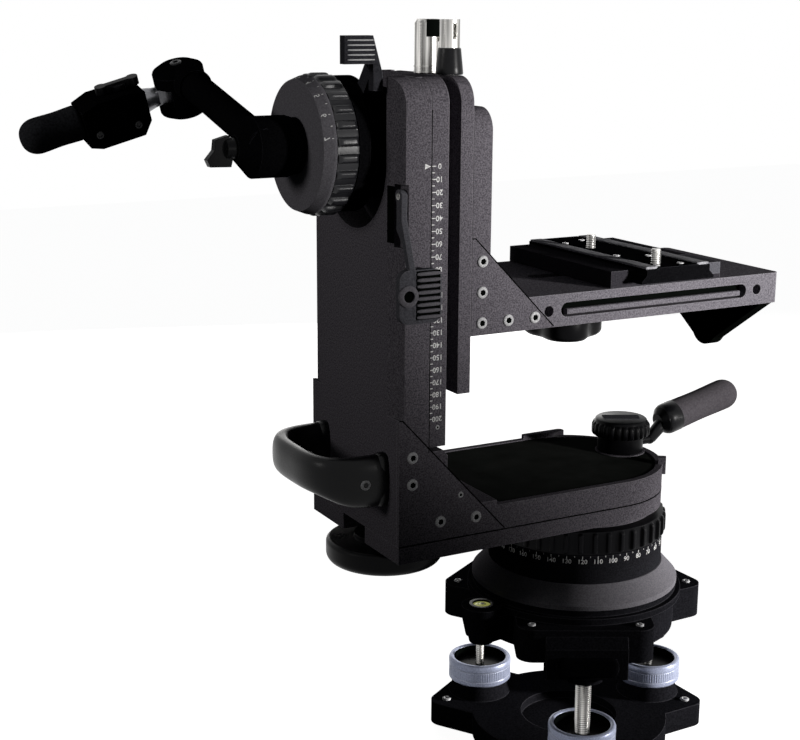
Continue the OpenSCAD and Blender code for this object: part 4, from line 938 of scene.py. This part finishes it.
class HEAD_OT_wheels(bpy.types.Operator):
    """Levelling wheels' metal rings with a fine knurl between two polished bands, and painted shade inside them"""

    bl_idname = "head.wheels"
    bl_label = "Levelling wheels"

    def execute(self, context):
        for k in (1, 2, 3):
            self.wheel("wheel_%d" % k, k)
        return {"FINISHED"}

    def wheel(self, body, k):
        """Turned ring whose knurled rows are r + 0.3 |sin(40 t)|."""
        node = "wheel_ring_%d" % k
        low, high = box_mm(node)
        spot = foot_of(body + "_turn")
        r, z0, z1 = (high[0] - low[0]) / 2, low[2], high[2]
        wall = r - 5.0
        profile = [
            [wall, z0], [r - 1.5, z0], [r, z0 + 1.5], [r, z0 + 5.0], [r - 0.6, z0 + 5.4], [r - 0.6, z0 + 6.0],
            [r - 0.5, z0 + 6.0], [r - 0.5, z1 - 7.5], [r - 0.6, z1 - 7.5], [r - 0.6, z1 - 6.9],
            [r, z1 - 6.5], [r, z1 - 2.4], [r - 0.7, z1 - 0.9], [r - 2.2, z1], [wall + 1.2, z1],
            [wall, z1 - 1.2], [wall, z0]]
        knurled = slice(6, 8)

        def knurl(reach, turn, height):
            return changed(reach, knurled, lambda r: r + 0.3 * abs(np.sin(40 * turn)))
        # Painted shade: a black band over the ring's inner wall, above the recessed hub
        inner_shade = turned(band(wall - 0.4, wall + 0.05, z1 - 9.0, z1 - 1.3), 96, spot, UPRIGHT)
        gap("wheel_liner_%d" % k, [inner_shade], body)
        shell("knurled_wheel_%d" % k, [turned(profile, 480, spot, UPRIGHT, knurl)], body,
              BLUE_GREY, [node], 30.0)


def ribbed(bore, radius, low, high, ribs, share, margin):
    """Section of a drag ring and the rule of its ribs.

    The rim is r - 0.5 + 2.9 pad(t) cap(h): pad is a flat-topped bump over a share of each rib's pitch, and
    cap rounds the bump off towards both ends of the ring.
    """
    rows, out, sunk = 22, 2.9, 0.5
    rim = np.stack([np.full(rows, radius), np.linspace(low + 1.6, high - 1.6, rows)], axis=1)
    profile = np.concatenate([[[bore, low], [radius - 1.8, low], [radius - 0.4, low + 0.5]], rim,
                              [[radius - 0.4, high - 0.5], [radius - 1.8, high], [bore, high], [bore, low]]])

    def shape(reach, turn, h):
        phase = (turn * ribs / (2 * pi)) % 1.0 - 0.5
        pad = np.clip(1.0 - abs(phase / (share / 2)) ** 6, 0.0, 1.0) ** 0.5
        level = (h - (low + high) / 2) / ((high - low) / 2 - margin)
        cap = np.clip(1.0 - abs(level) ** 8, 0.0, 1.0) ** 0.5
        return np.where(reach >= radius, reach - sunk + out * pad * cap, reach)
    return profile, shape


class HEAD_OT_drag_rings(bpy.types.Operator):
    """Ribbed rings that set the pan and tilt drag"""

    bl_idname = "head.drag_rings"
    bl_label = "Drag rings"

    def execute(self, context):
        low, high = box_mm("pan_drag_ring")
        rib_out = 2.5
        ribs = sizes().pan_ribs
        profile, shape = ribbed(60.06, high[0] - rib_out, low[2], high[2], ribs, 0.34, 1.6)
        shell("pan_ring_ribbed", [turned(profile, ribs * 16, (0, 0, 0), UPRIGHT, shape)], "pan_drag",
              "nitrile rubber, dull black", ["pan_drag_ring"], 50.0)
        low, high = box_mm("tilt_drag_ring")
        ribs = sizes().tilt_ribs
        profile, shape = ribbed(40.06, (high[2] - low[2]) / 2 - rib_out, low[0], high[0], ribs, 0.46, 1.2)
        centre = joint_at("tilt_drag_turn") * [0, 1, 1]
        shell("tilt_ring_ribbed", [turned(profile, ribs * 18, centre, SIDEWAYS, shape)], "tilt_drag",
              RUBBER, ["tilt_drag_ring"], 50.0)
        return {"FINISHED"}


class HEAD_OT_knobs(bpy.types.Operator):
    """Side clamp knob, fluted arm knob with its bare cap, and three-lobed platform knob"""

    bl_idname = "head.knobs"
    bl_label = "Knobs"

    def execute(self, context):
        self.side()
        self.arm()
        self.platform()
        return {"FINISHED"}

    def side(self):
        """Dished foot, rim rounded by quarter circles of 8 mm below and 4 mm above, and a stepped stem."""
        low, high = box_mm("side_knob")
        r, z, stem_top = (high[0] - low[0]) / 2, low[2], high[2]
        top = z + 21.0
        t = np.linspace(-pi / 2, 0.0, 10)
        foot = np.stack([r - 8.0 + 8.0 * np.cos(t), z + 8.5 + 8.0 * np.sin(t)], axis=1)
        crown = np.stack([r - 4.0 + 4.0 * np.cos(t), top - 4.0 - 4.0 * np.sin(t)], axis=1)[::-1]
        stem = [[26.0, top], [26.0, top + 4.0], [8.0, top + 4.0], [8.0, stem_top], [0.0, stem_top]]
        dish = [[0.0, z + 2.4], [r - 24, z + 2.0], [r - 17, z + 0.6], [r - 12, z + 0.5]]
        knob = turned(np.concatenate([dish, foot, crown, stem]), 96, foot_of("side_knob_turn"), UPRIGHT)
        shell("side_knob_turned", [knob], "side_clamp", NYLON, ["side_knob"])

    def arm(self):
        """Fluted grip: r - 1.8 (0.5 + 0.5 cos(n t)) ** 3 on its rows, with a bare plate on top."""
        foot, top = (corner[2] for corner in box_mm("arm_knob"))
        spot = foot_of("arm_knob_turn")
        flutes = sizes().knob_flutes
        z = top - 16.0
        profile = [[0, foot], [6, foot], [6, z - 14.6], [11, z - 14.6], [11, z - 0.6], [11.4, z], [24.0, z],
                   [25.4, z + 0.5], [26.6, z + 1.6], [26.8, z + 6], [26.6, z + 10.4], [25.6, z + 12.2],
                   [24.4, z + 12.8], [24.0, z + 13.6], [23.6, z + 15.2], [22.6, z + 16.0], [0, z + 16.0]]
        grip = slice(7, 12)

        def flute(reach, turn, height):
            return changed(reach, grip, lambda r: r - 1.8 * (0.5 + 0.5 * np.cos(flutes * turn)) ** 3)
        shell("arm_knob_fluted", [turned(profile, flutes * 10, spot, UPRIGHT, flute)], "stub_clamp",
              NYLON, ["arm_knob"], 45.0)
        along = np.array([0.88, -0.47, 0])
        path = np.linspace(-17.0, 17.0, 12)[:, None] * along + [0, 0, top + 0.1]
        shell("arm_knob_plate", [swept(spot + path * MM, rounded(7.5, 0.35, 9.0), Z)], "stub_clamp",
              LEVER_GREY)

    def platform(self):
        """Three-lobed grip on its stem: r(t) = a + b cos(3 t) - c cos(6 t), rounded top and bottom.

        The grip's rows hold shares of r(t), and it hangs lower than the CAD knob, as the real one does.
        """
        z, top = (corner[2] for corner in box_mm("platform_knob"))
        low = z - 8.0
        profile = [[0, low], [0.78, low], [0.9, low + 0.8], [0.97, low + 2.6], [1, low + 5], [1, z + 12.5],
                   [0.97, z + 15.0], [0.9, z + 16.4], [0.78, z + 17.0], [16, z + 17.0], [16, z + 20.0],
                   [6, z + 20.0], [6, top], [0, top]]
        grip = slice(0, 9)
        first_lobe = radians(1.4)

        def lobes(reach, turn, height):
            three = 3 * (turn - first_lobe)
            return changed(reach, grip, lambda r: r * (32.2 + 5.3 * np.cos(three) - 0.5 * np.cos(2 * three)))
        shell("platform_knob_lobed", [turned(profile, 120, foot_of("cross_knob_turn"), UPRIGHT, lobes)],
              "cross_knob", NYLON, ["platform_knob"], 45.0)


class HEAD_OT_grips(bpy.types.Operator):
    """Foam grips of the pan bar and of the short handle, and the short handle's ferrule"""

    bl_idname = "head.grips"
    bl_label = "Foam grips"

    def execute(self, context):
        self.grip("bar_grip_foam", joint_at("elbow_turn"), (BAR_Y, BAR_Z, -BAR_X), 15.0, 93.0, 144.0, 9.05,
                  "bar_end", "bar_grip", "neoprene foam, black")
        rise = radians(13.3)
        along = np.array([cos(rise), 0.0, sin(rise)])
        axes = (Y, np.cross(along, Y), along)
        start = foot_of("stub_swing") + np.array([52.0 * MM, 0.0, CORNER[2] + 45.0 * MM])
        self.ferrule(start, axes)
        self.grip("stub_grip_foam", start, axes, 14.3, 5.6, 82.5, 8.8, "stub", "stub_grip", FOAM_GREY)
        return {"FINISHED"}

    def ferrule(self, start, axes):
        """Turned band at the grip's mouth, and a tapered sleeve over the link's climbing end."""
        mouth = turned([[12.0, -4.0], [13.6, -3.0], [14.6, -0.6], [14.7, 2.0], [14.7, 10.6], [14.4, 11.2],
                        [12.0, 11.4], [12.0, -4.0]], 56, start, axes)
        bend = start + np.array([-18.0, 0.0, -17.0]) * MM
        reach = np.linalg.norm(start - bend) / MM
        climb = (start - bend) / (reach * MM)
        sleeve = turned([[0.0, -1.0], [4.8, -0.6], [5.6, 1.0], [6.4, reach - 9.0], [6.4, reach - 4.0],
                         [0.0, reach - 4.0]], 32, bend, (Y, np.cross(climb, Y), climb))
        shell("stub_ferrule", [mouth, sleeve], "stub", TURNED_GLOSS, sharp=50.0)

    def grip(self, name, origin, axes, radius, start, finish, bore, body, node, foam):
        """Barrel of revolution with a slightly waisted side and a domed end, closed round its rod's bore."""
        t = np.linspace(0.0, 1.0, 24)
        long = finish - start - radius
        side = np.stack([radius * (1 - 0.035 * np.sin(pi * t) ** 2), start + 2.0 + (long - 2.0) * t], axis=1)
        a = np.linspace(0.0, pi / 2, 14)[1:]
        dome = np.stack([radius * np.cos(a) ** 0.8, start + long + radius * np.sin(a)], axis=1)
        mouth = [[0.0, start + 1.0], [bore, start + 1.0], [bore, start], [radius - 2.2, start],
                 [radius - 0.7, start + 0.6]]
        barrel = turned(np.concatenate([mouth, side, dome]), 56, origin, axes)
        shell(name, [barrel], body, foam, [node], 60.0)


class HEAD_OT_carrying_handle(bpy.types.Operator):
    """Moulded carrying handle on the column's outer face"""

    bl_idname = "head.carrying_handle"
    bl_label = "Carrying handle"

    def execute(self, context):
        low, high = column_box("carrying_handle")
        height = (low[2] + high[2]) / 2
        reach = high[1] - 9.0
        self.strap(-low[0] - 8.0, reach, height)
        self.feet(reach, height)
        return {"FINISHED"}

    def strap(self, out, reach, height):
        """Rounded section along half a superellipse: x = -a sin(t) ** 0.5, y = -b sgn(cos t) |cos t| ** 0.62.

        The section widens and the strap drops 6 mm towards its feet, by |cos t| ** 4.
        """
        t = np.linspace(0.0, pi, 60)
        foot = abs(np.cos(t)) ** 4
        path = np.stack([-out * np.sin(t) ** 0.5, -reach * np.sign(np.cos(t)) * abs(np.cos(t)) ** 0.62,
                         height + 6.0 * (1.0 - foot)], axis=1)
        spread = np.stack([7.6 + 1.6 * foot, 15.6 + 6.0 * foot], axis=1)[:, None]
        section = rounded(1.0, 1.0, 2.6)[None] * spread
        shell("handle_strap", [swept(on_column(path), section, Z)], "arm", NYLON_POLISHED,
              ["carrying_handle"], 60.0)

    def feet(self, reach, height):
        """Pads where the handle meets the column, each a shallow superellipse cushion, with its bolt."""
        depth = np.array([0.5, -3.0, -6.5, -8.5, -9.6])
        spread = np.array([1.0, 1.0, 0.97, 0.9, 0.78])[:, None, None]
        pads, bolts = [], []
        for side in SIDES:
            path = np.stack([depth, np.full(5, side * reach), np.full(5, height)], axis=1)
            pads.append(swept(on_column(path), rounded(9.0, 22.6, 3.2)[None] * spread, Z))
            bolts.append(socket_bolt(4.6, 2.0, on_column([-21.0, side * (reach + 7.2), height]), side * Y))
        shell("handle_feet", pads, "arm", NYLON_POLISHED, sharp=60.0)
        shell("handle_bolts", bolts, "arm", SCREW_STEEL)


def ridges(left, right, face, heights, radius):
    """Ridges across a thumb pad: a rounded section carried along straight lines, tapered at both ends."""
    taper = np.array([0.55, 0.9, 1, 1, 1, 1, 1, 1, 0.9, 0.55])[:, None, None]
    section = rounded(radius, radius, 2.2, 16)[None] * taper
    return [swept(on_column(np.linspace([left, face, z], [right, face, z], 10)), section, Z) for z in heights]


class HEAD_OT_levers(bpy.types.Operator):
    """Thumb ridges of the lock lever and of the brake lever, the lock lever's eye and the painted shade of the
    pocket beside it
    """

    bl_idname = "head.levers"
    bl_label = "Levers"

    def execute(self, context):
        self.lock()
        self.brake()
        return {"FINISHED"}

    def lock(self):
        """Ridges lighter than the lever as painted highlights, a dark pad and pivot hole as painted shade, and the
        turned eye round it.
        """
        (left, front, foot), (right, _, _) = column_box("lock_lever")
        # Painted highlights: the ridges are a lighter grey than the lever
        bars = ridges(left + 15, right - 1.5, front - 0.5, foot + np.arange(5.0, 40.0, 4.8), 1.5)
        shell("lock_lever_ridges", bars, "lock", TURNED_GREY, sharp=60.0)
        middle = (left + right) / 2 + 6.5
        back = np.linspace([middle, front - PROUD, foot + 3.0], [middle, front - PROUD, foot + 41.0], 4)
        pad = swept(on_column(back), rounded((right - left - 16.0) / 2, 0.15, 8.0, 24), Y)
        pivot = on_column([left + 7.5, front, foot + 22.0])
        forward = (X, Z, -Y)
        # Painted shade: a black pad under the ridges and a black disc as the pivot's hole
        hole = turned([[0.0, -0.2], [4.6, -0.2], [4.6, 0.25], [0.0, 0.25]], 40, pivot, forward)
        gap("lock_lever_shade", [pad, hole], "lock")
        self.pocket()
        eye = turned([[4.4, 0.2], [4.4, 1.6], [5.0, 2.2], [7.0, 2.2], [8.4, 1.2], [8.6, -0.3], [4.4, -0.3],
                      [4.4, 0.2]], 40, pivot, forward)
        shell("lock_lever_eye", [eye], "lock", TURNED_GREY)

    def pocket(self):
        """Painted shade of the recess beside the lock lever: a thin black plate on the column's bevel, carried up
        along Z.
        """
        deep, wide, along = 4.5, 21.0, 0.81
        low, high = 244.0, 288.0
        out = np.array([-wide, -deep, 0.0]) / np.hypot(deep, wide)
        middle = np.array([deep * (1 - along), -HALF + wide * along, 0.0]) + out * 0.1
        path = middle + np.linspace(low, high, 5)[:, None] * Z
        gap("lock_pocket_shade", [swept(on_column(path), rounded(4.2, 0.15, 9.0, 24), out)], "arm")

    def brake(self):
        """Thin bright ridges on the brake lever's thumb pad."""
        low, high = column_box("brake_lever")
        pad_face = -57.2
        bars = ridges(low[0] + 2.5, low[0] + 25.0, pad_face, high[2] - np.arange(3.4, 20.0, 3.6), 0.6)
        shell("brake_lever_ridges", bars, "brake", SCREW_STEEL, sharp=60.0)


class HEAD_OT_posts(bpy.types.Operator):
    """Rings of the top post and the painted shade of its window, and the black sleeve of the lock plunger"""

    bl_idname = "head.posts"
    bl_label = "Posts"

    def execute(self, context):
        self.sleeve()
        self.post()
        return {"FINISHED"}

    def ends(self, node):
        """A post's place, its radius, and the height of the plate it stands on and of its top."""
        low, high = box_mm(node)
        stands = 42.3
        return (low + high) / 2 * MM * [1, 1, 0], (high[0] - low[0]) / 2, high[2] - stands, high[2]

    def sleeve(self):
        """Tapered sleeve with a flared foot."""
        spot, _, foot, _ = self.ends("lock_plunger")
        profile = np.array([[8.4, 0.4], [10.6, 0.4], [10.9, 1.6], [10.5, 6.0], [9.1, 19.0], [8.9, 20.4],
                            [8.1, 20.8], [8.1, 0.4], [8.4, 0.4]]) + [0, foot]
        sleeve = turned(profile, 64, spot, UPRIGHT)
        shell("plunger_sleeve", [sleeve], "plunger", TURNED_GLOSS)

    def post(self):
        """Two bands near the foot, and the window's painted shade: a thin black plate bent round the front by 68
        degrees.
        """
        spot, radius, foot, top = self.ends("top_post")
        bands = [turned(band(10.3, 10.85, z, z + 1.4), 64, spot, UPRIGHT) for z in (foot + 0.6, foot + 5.0)]
        shell("post_bands", bands, "tilt", STEEL)
        turn = np.radians(np.linspace(-124.0, -56.0, 18))
        radius += 0.02
        arc = np.stack([radius * np.cos(turn), radius * np.sin(turn), np.full(18, top - 7.0)], axis=1)
        # Painted shade: a black plate for the window's dark opening
        gap("post_window_shade", [swept(spot + arc * MM, rounded(0.1, 6.7, 9.0, 16), Z)], "tilt", 60.0)


class HEAD_OT_rail_tips(bpy.types.Operator):
    """Tips of the carriage's rails, which close the column's grooves flush with its rounded top"""

    bl_idname = "head.rail_tips"
    bl_label = "Rail tips"

    def execute(self, context):
        top = column_box("carriage")[1][2]
        back_drop = 14.0
        tips = []
        for side, limit in zip(SIDES, (top, top - back_drop)):
            for near, far, half in ((0.0, 6.5, 3.5), (6.5, 13.0, 6.5)):
                tips.append(self.tip(side, RAIL_SEAM - (near + far) / 2, (far - near) / 2, half, top, limit))
        shell("rail_tips", tips, "carriage", CHARCOAL)
        return {"FINISHED"}

    def tip(self, side, x, wide, half, top, limit):
        """Prism over y = m +- half, from the rail's end to foot + sqrt(R R - (|y| - c) ** 2) or a limit."""
        corner, rail_in, under = 21.0, 12.0, 0.25
        foot = top - corner
        y = HALF - rail_in + np.linspace(-half, half, 9)
        roof = np.minimum(foot + np.sqrt(corner ** 2 - (y - (HALF - corner)) ** 2), limit) - under
        path = np.stack([np.full(9, x), side * y, (roof + foot) / 2], axis=1)
        square = np.array([[-1, -1], [1, -1], [1, 1], [-1, 1]], float)
        section = square[None] * np.stack([np.full(9, wide), (roof - foot) / 2], axis=1)[:, None]
        return swept(on_column(path), section, Z)


class HEAD_OT_platform_fittings(bpy.types.Operator):
    """Bars in the platform's side slots, the camera plate's screws and strips, and the release lever"""

    bl_idname = "head.platform_fittings"
    bl_label = "Platform fittings"

    def execute(self, context):
        self.slot_bars()
        self.plate_screws()
        self.strips()
        self.release()
        return {"FINISHED"}

    def slot_bars(self):
        """A rounded bar along each pill slot, its section a flattened superellipse, before a black floor of
        painted shade.
        """
        def runs(left, right, depth, z, count, section):
            ends = [([left, side * (HALF - depth), z], [right, side * (HALF - depth), z]) for side in SIDES]
            return [swept(on_column(np.linspace(start, end, count)), section, Z) for start, end in ends]
        bars = runs(158.0, 341.0, 5.0, 178.0, 40, rounded(3.0, 2.4, 4.0))
        shell("slot_bars", bars, "cradle", PLATFORM_GREY, sharp=50.0)
        gap("slot_floor_shade", runs(151.0, 345.0, 8.6, 180.5, 6, rounded(0.3, 5.9, 8.0)), "cradle")

    def plate_screws(self):
        low, high = box_mm("camera_plate")
        middle = (low[0] + high[0]) / 2
        places = [(-16.0, 50.0), (-16.0, -28.0), (9.0, 60.0), (9.0, -40.0), (9.0, -84.0), (-16.0, -84.0)]
        heads = [socket_bolt(3.0, 0.9, np.array([middle + x, y, high[2]]) * MM, Z) for x, y in places]
        shell("plate_screws", heads, "plate", SCREW_STEEL)

    def strips(self):
        """Grip strips of the camera plate: a flat section whose top has a fine wave, h - c |sin(k y)|."""
        low, high = (np.array(corner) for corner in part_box("plate_pads"))
        half, waves = 6.0, 1400
        y = np.linspace(low[1], high[1], 240)
        section = np.repeat(rounded(half, 1.0, 8.0, 24)[None], len(y), axis=0)
        section[:, :, 1] -= np.where(section[:, :, 1] > 0, 0.3 * abs(np.sin(waves * y))[:, None], 0.0)
        paths = [np.stack([np.full_like(y, x), y, np.full_like(y, (low[2] + high[2]) / 2)], axis=1)
                 for x in (low[0] + half * MM, high[0] - half * MM)]
        piece = shell("plate_strips", [swept(path, section, Z) for path in paths], "plate",
                      "cork-rubber strip, grey", ["plate_pads"], sharp=50.0)

    def release(self):
        """Release lever across the clamp's front: a rounded bar bent back at one end and out at the other."""
        low, high = column_box("plate_clamp")
        start = [(low[0] + high[0]) / 2 - 30.0, low[1] - 3.0, low[2] + 5.0]
        bends = [[0, 2.0, 0], [4, 0.6, 0], [9, 0, 0], [20, 0, 0], [34, 0, 0], [44, -0.6, 0], [50, -2.0, 0]]
        path = np.array(start) + bends
        shell("clamp_release", [swept(on_column(path), rounded(2.4, 3.6, 3.0), Z)], "cross",
              TURNED_BLACK, sharp=60.0)


class HEAD_OT_base_details(bpy.types.Operator):
    """Level vial's dome, ring and bubble, the bare plate on the front tab and the tray's mat"""

    bl_idname = "head.base_details"
    bl_label = "Base details"

    def execute(self, context):
        self.vial()
        self.badge()
        self.mat()
        return {"FINISHED"}

    def vial(self):
        """Low dome h = h0 + c (1 - (r / R) ** 2), with a ring drawn on it and a bubble beside the middle."""
        low, high = box_mm("level_vial")
        spot = (low + high) / 2 * MM * [1, 1, 0]
        r, z, top = (high[0] - low[0]) / 2, low[2], high[2]
        rim, crown = top - 0.8, 1.2
        t = np.linspace(1.0, 0.0, 14)
        dome = np.stack([r * t, rim + crown * (1 - t ** 2)], axis=1)
        shell("vial_dome", [turned(np.concatenate([[[0, z], [r, z]], dome]), 48, spot, UPRIGHT)], "leveller",
              VIAL, ["level_vial"], 50.0)
        lift = rim + crown * (1 - 0.42 ** 2)
        shell("vial_ring", [turned(band(3.2, 3.7, lift, lift + 0.12), 48, spot, UPRIGHT)], "leveller",
              NYLON)
        a = np.linspace(-pi / 2, pi / 2, 12)
        bubble = turned(np.stack([2.2 * np.cos(a), top + 0.1 + 0.5 * np.sin(a)], axis=1), 28,
                        spot + X * 0.6 * MM, UPRIGHT)
        shell("vial_bubble", [bubble], "leveller", "screen print, white ink")

    def badge(self):
        """Bare plate over the front tab and its boss: a flat superellipse cushion facing outward."""
        half_long, out_by, down_by, count = 27.0, 117.1, 30.5, 30
        spot = foot_of("wheel_1_turn")
        out = spot / np.linalg.norm(spot)
        share = np.linspace(-1, 1, count)
        path = share[:, None] * half_long * np.cross(Z, out) + out * out_by + Z * (CASTING_TOP - down_by)
        taper = np.clip(1 - abs(share) ** 14, 0.05, 1)[:, None, None]
        shell("badge_plate", [swept(path * MM, rounded(2.5, 8.5, 7.0)[None] * taper ** 0.3, Z)], "leveller",
              TURNED_BLACK, sharp=40.0)

    def mat(self):
        """Mat in the arm's tray: rows y = v w(x), with w along the straight sides and the round end."""
        start, reach, top, thick, count = 99.5, 225.0, 21.3, 0.9, 40
        wide = HALF - 7.0
        bend = reach + wide * np.sin(np.linspace(0, pi / 2, 26)[1:])
        x = np.concatenate([np.linspace(start, reach, 24), bend])
        half = np.where(x <= reach, wide, np.sqrt(np.clip(wide ** 2 - (x - reach) ** 2, 0.0, None)))
        v = np.linspace(-1, 1, count)
        flat = np.stack([np.repeat(x[:, None], count, 1), v[None] * half[:, None],
                         np.full((len(x), count), top)], axis=-1)
        under = flat - Z * thick
        skirt = np.concatenate([under[:, :1], flat, under[:, -1:]], axis=1)
        # Painted light: the mat's grey is lighter than black for the light on the tray's top
        shell("tray_mat", [(on_column(skirt), False, False)], "arm", "neoprene mat, grey as painted light")


class HEAD_OT_bar_details(bpy.types.Operator):
    """Toothed rosette, domes of the elbow and screws of the pan bar"""

    bl_idname = "head.bar_details"
    bl_label = "Pan bar details"

    def execute(self, context):
        self.rosette()
        self.elbow()
        self.bolts()
        return {"FINISHED"}

    def rosette(self):
        """Toothed rim: r + 0.9 |2 frac(24 t / pi) - 1| round the tilt axis, on the rim's two outer rows."""
        start = box_mm("bar_rosette")[1][0] - 9.0
        rim = slice(1, 3)

        def teeth(reach, turn, height):
            return changed(reach, rim, lambda r: r + 0.9 * abs(2 * ((24 * turn / pi) % 1.0) - 1))
        centre = joint_at("tilt_turn") * [0, 1, 1]
        ring = turned(band(21.0, 22.1, start + 0.2, start + 3.6), 480, centre, SIDEWAYS, teeth)
        shell("rosette_teeth", [ring], "tilt", TURNED_BLACK, sharp=30.0)

    def elbow(self):
        """Bevelled caps of revolution on the elbow's two flat ends."""
        profile = np.array([[21.9, 16.8], [21.4, 18.2], [15.0, 22.0], [11.0, 23.0], [0.0, 23.2], [0.0, 16.8],
                            [21.9, 16.8]])
        elbow, axes = joint_at("elbow_turn"), (BAR_X, BAR_Y, BAR_Z)
        caps = [turned(profile * [1, side], 56, elbow, axes) for side in SIDES]
        shell("elbow_caps", caps, "bar", TURNED_BLACK, sharp=50.0)

    def bolts(self):
        """One bolt on the elbow's upper cap and two on the block's side, all blackened."""
        elbow = joint_at("elbow_turn")
        cap_height, block_half = 23.1, 16.0
        top = socket_bolt(5.0, 1.4, elbow + BAR_Z * cap_height * MM, BAR_Z)
        shell("elbow_bolt", [top], "bar", TURNED_GLOSS)
        heads = [socket_bolt(3.4, 1.4, elbow + (BAR_X * x - BAR_Y * block_half + BAR_Z * z) * MM, -BAR_Y)
                 for x, z in ((-48.0, -12.0), (-82.0, -10.0))]
        shell("block_bolts", heads, "bar_end", TURNED_GLOSS)


class HEAD_PT_panel(bpy.types.Panel):
    """Lists the pieces' operators and the sizes they read"""

    bl_idname = "HEAD_PT_panel"
    bl_label = "Video head"
    bl_space_type = "VIEW_3D"
    bl_region_type = "UI"
    bl_category = "Head"

    def draw(self, context):
        for operator in OPERATORS:
            self.layout.operator(operator.bl_idname)
        for group in (context.scene.head_sizes, context.scene.head_colours):
            for name in group.bl_rna.properties.keys():
                if name not in ("rna_type", "name"):
                    self.layout.prop(group, name)


OPERATORS = (
    HEAD_OT_stage, HEAD_OT_finishes, HEAD_OT_scales, HEAD_OT_fasteners, HEAD_OT_joint_lines, HEAD_OT_screws,
    HEAD_OT_wheels, HEAD_OT_drag_rings, HEAD_OT_knobs, HEAD_OT_grips, HEAD_OT_carrying_handle, HEAD_OT_levers,
    HEAD_OT_posts, HEAD_OT_rail_tips, HEAD_OT_platform_fittings, HEAD_OT_base_details, HEAD_OT_bar_details,
)
CLASSES = (HeadSizes, HeadColours, *OPERATORS, HEAD_PT_panel)


def register():
    for item in CLASSES:
        bpy.utils.register_class(item)
    bpy.types.Scene.head_sizes = bpy.props.PointerProperty(type=HeadSizes)
    bpy.types.Scene.head_colours = bpy.props.PointerProperty(type=HeadColours)


def unregister():
    del bpy.types.Scene.head_colours
    del bpy.types.Scene.head_sizes
    for item in reversed(CLASSES):
        bpy.utils.unregister_class(item)


def main():
    register()
    for operator in OPERATORS:
        group, name = operator.bl_idname.split(".")
        getattr(getattr(bpy.ops, group), name)()


if __name__ == "__main__":
    main()
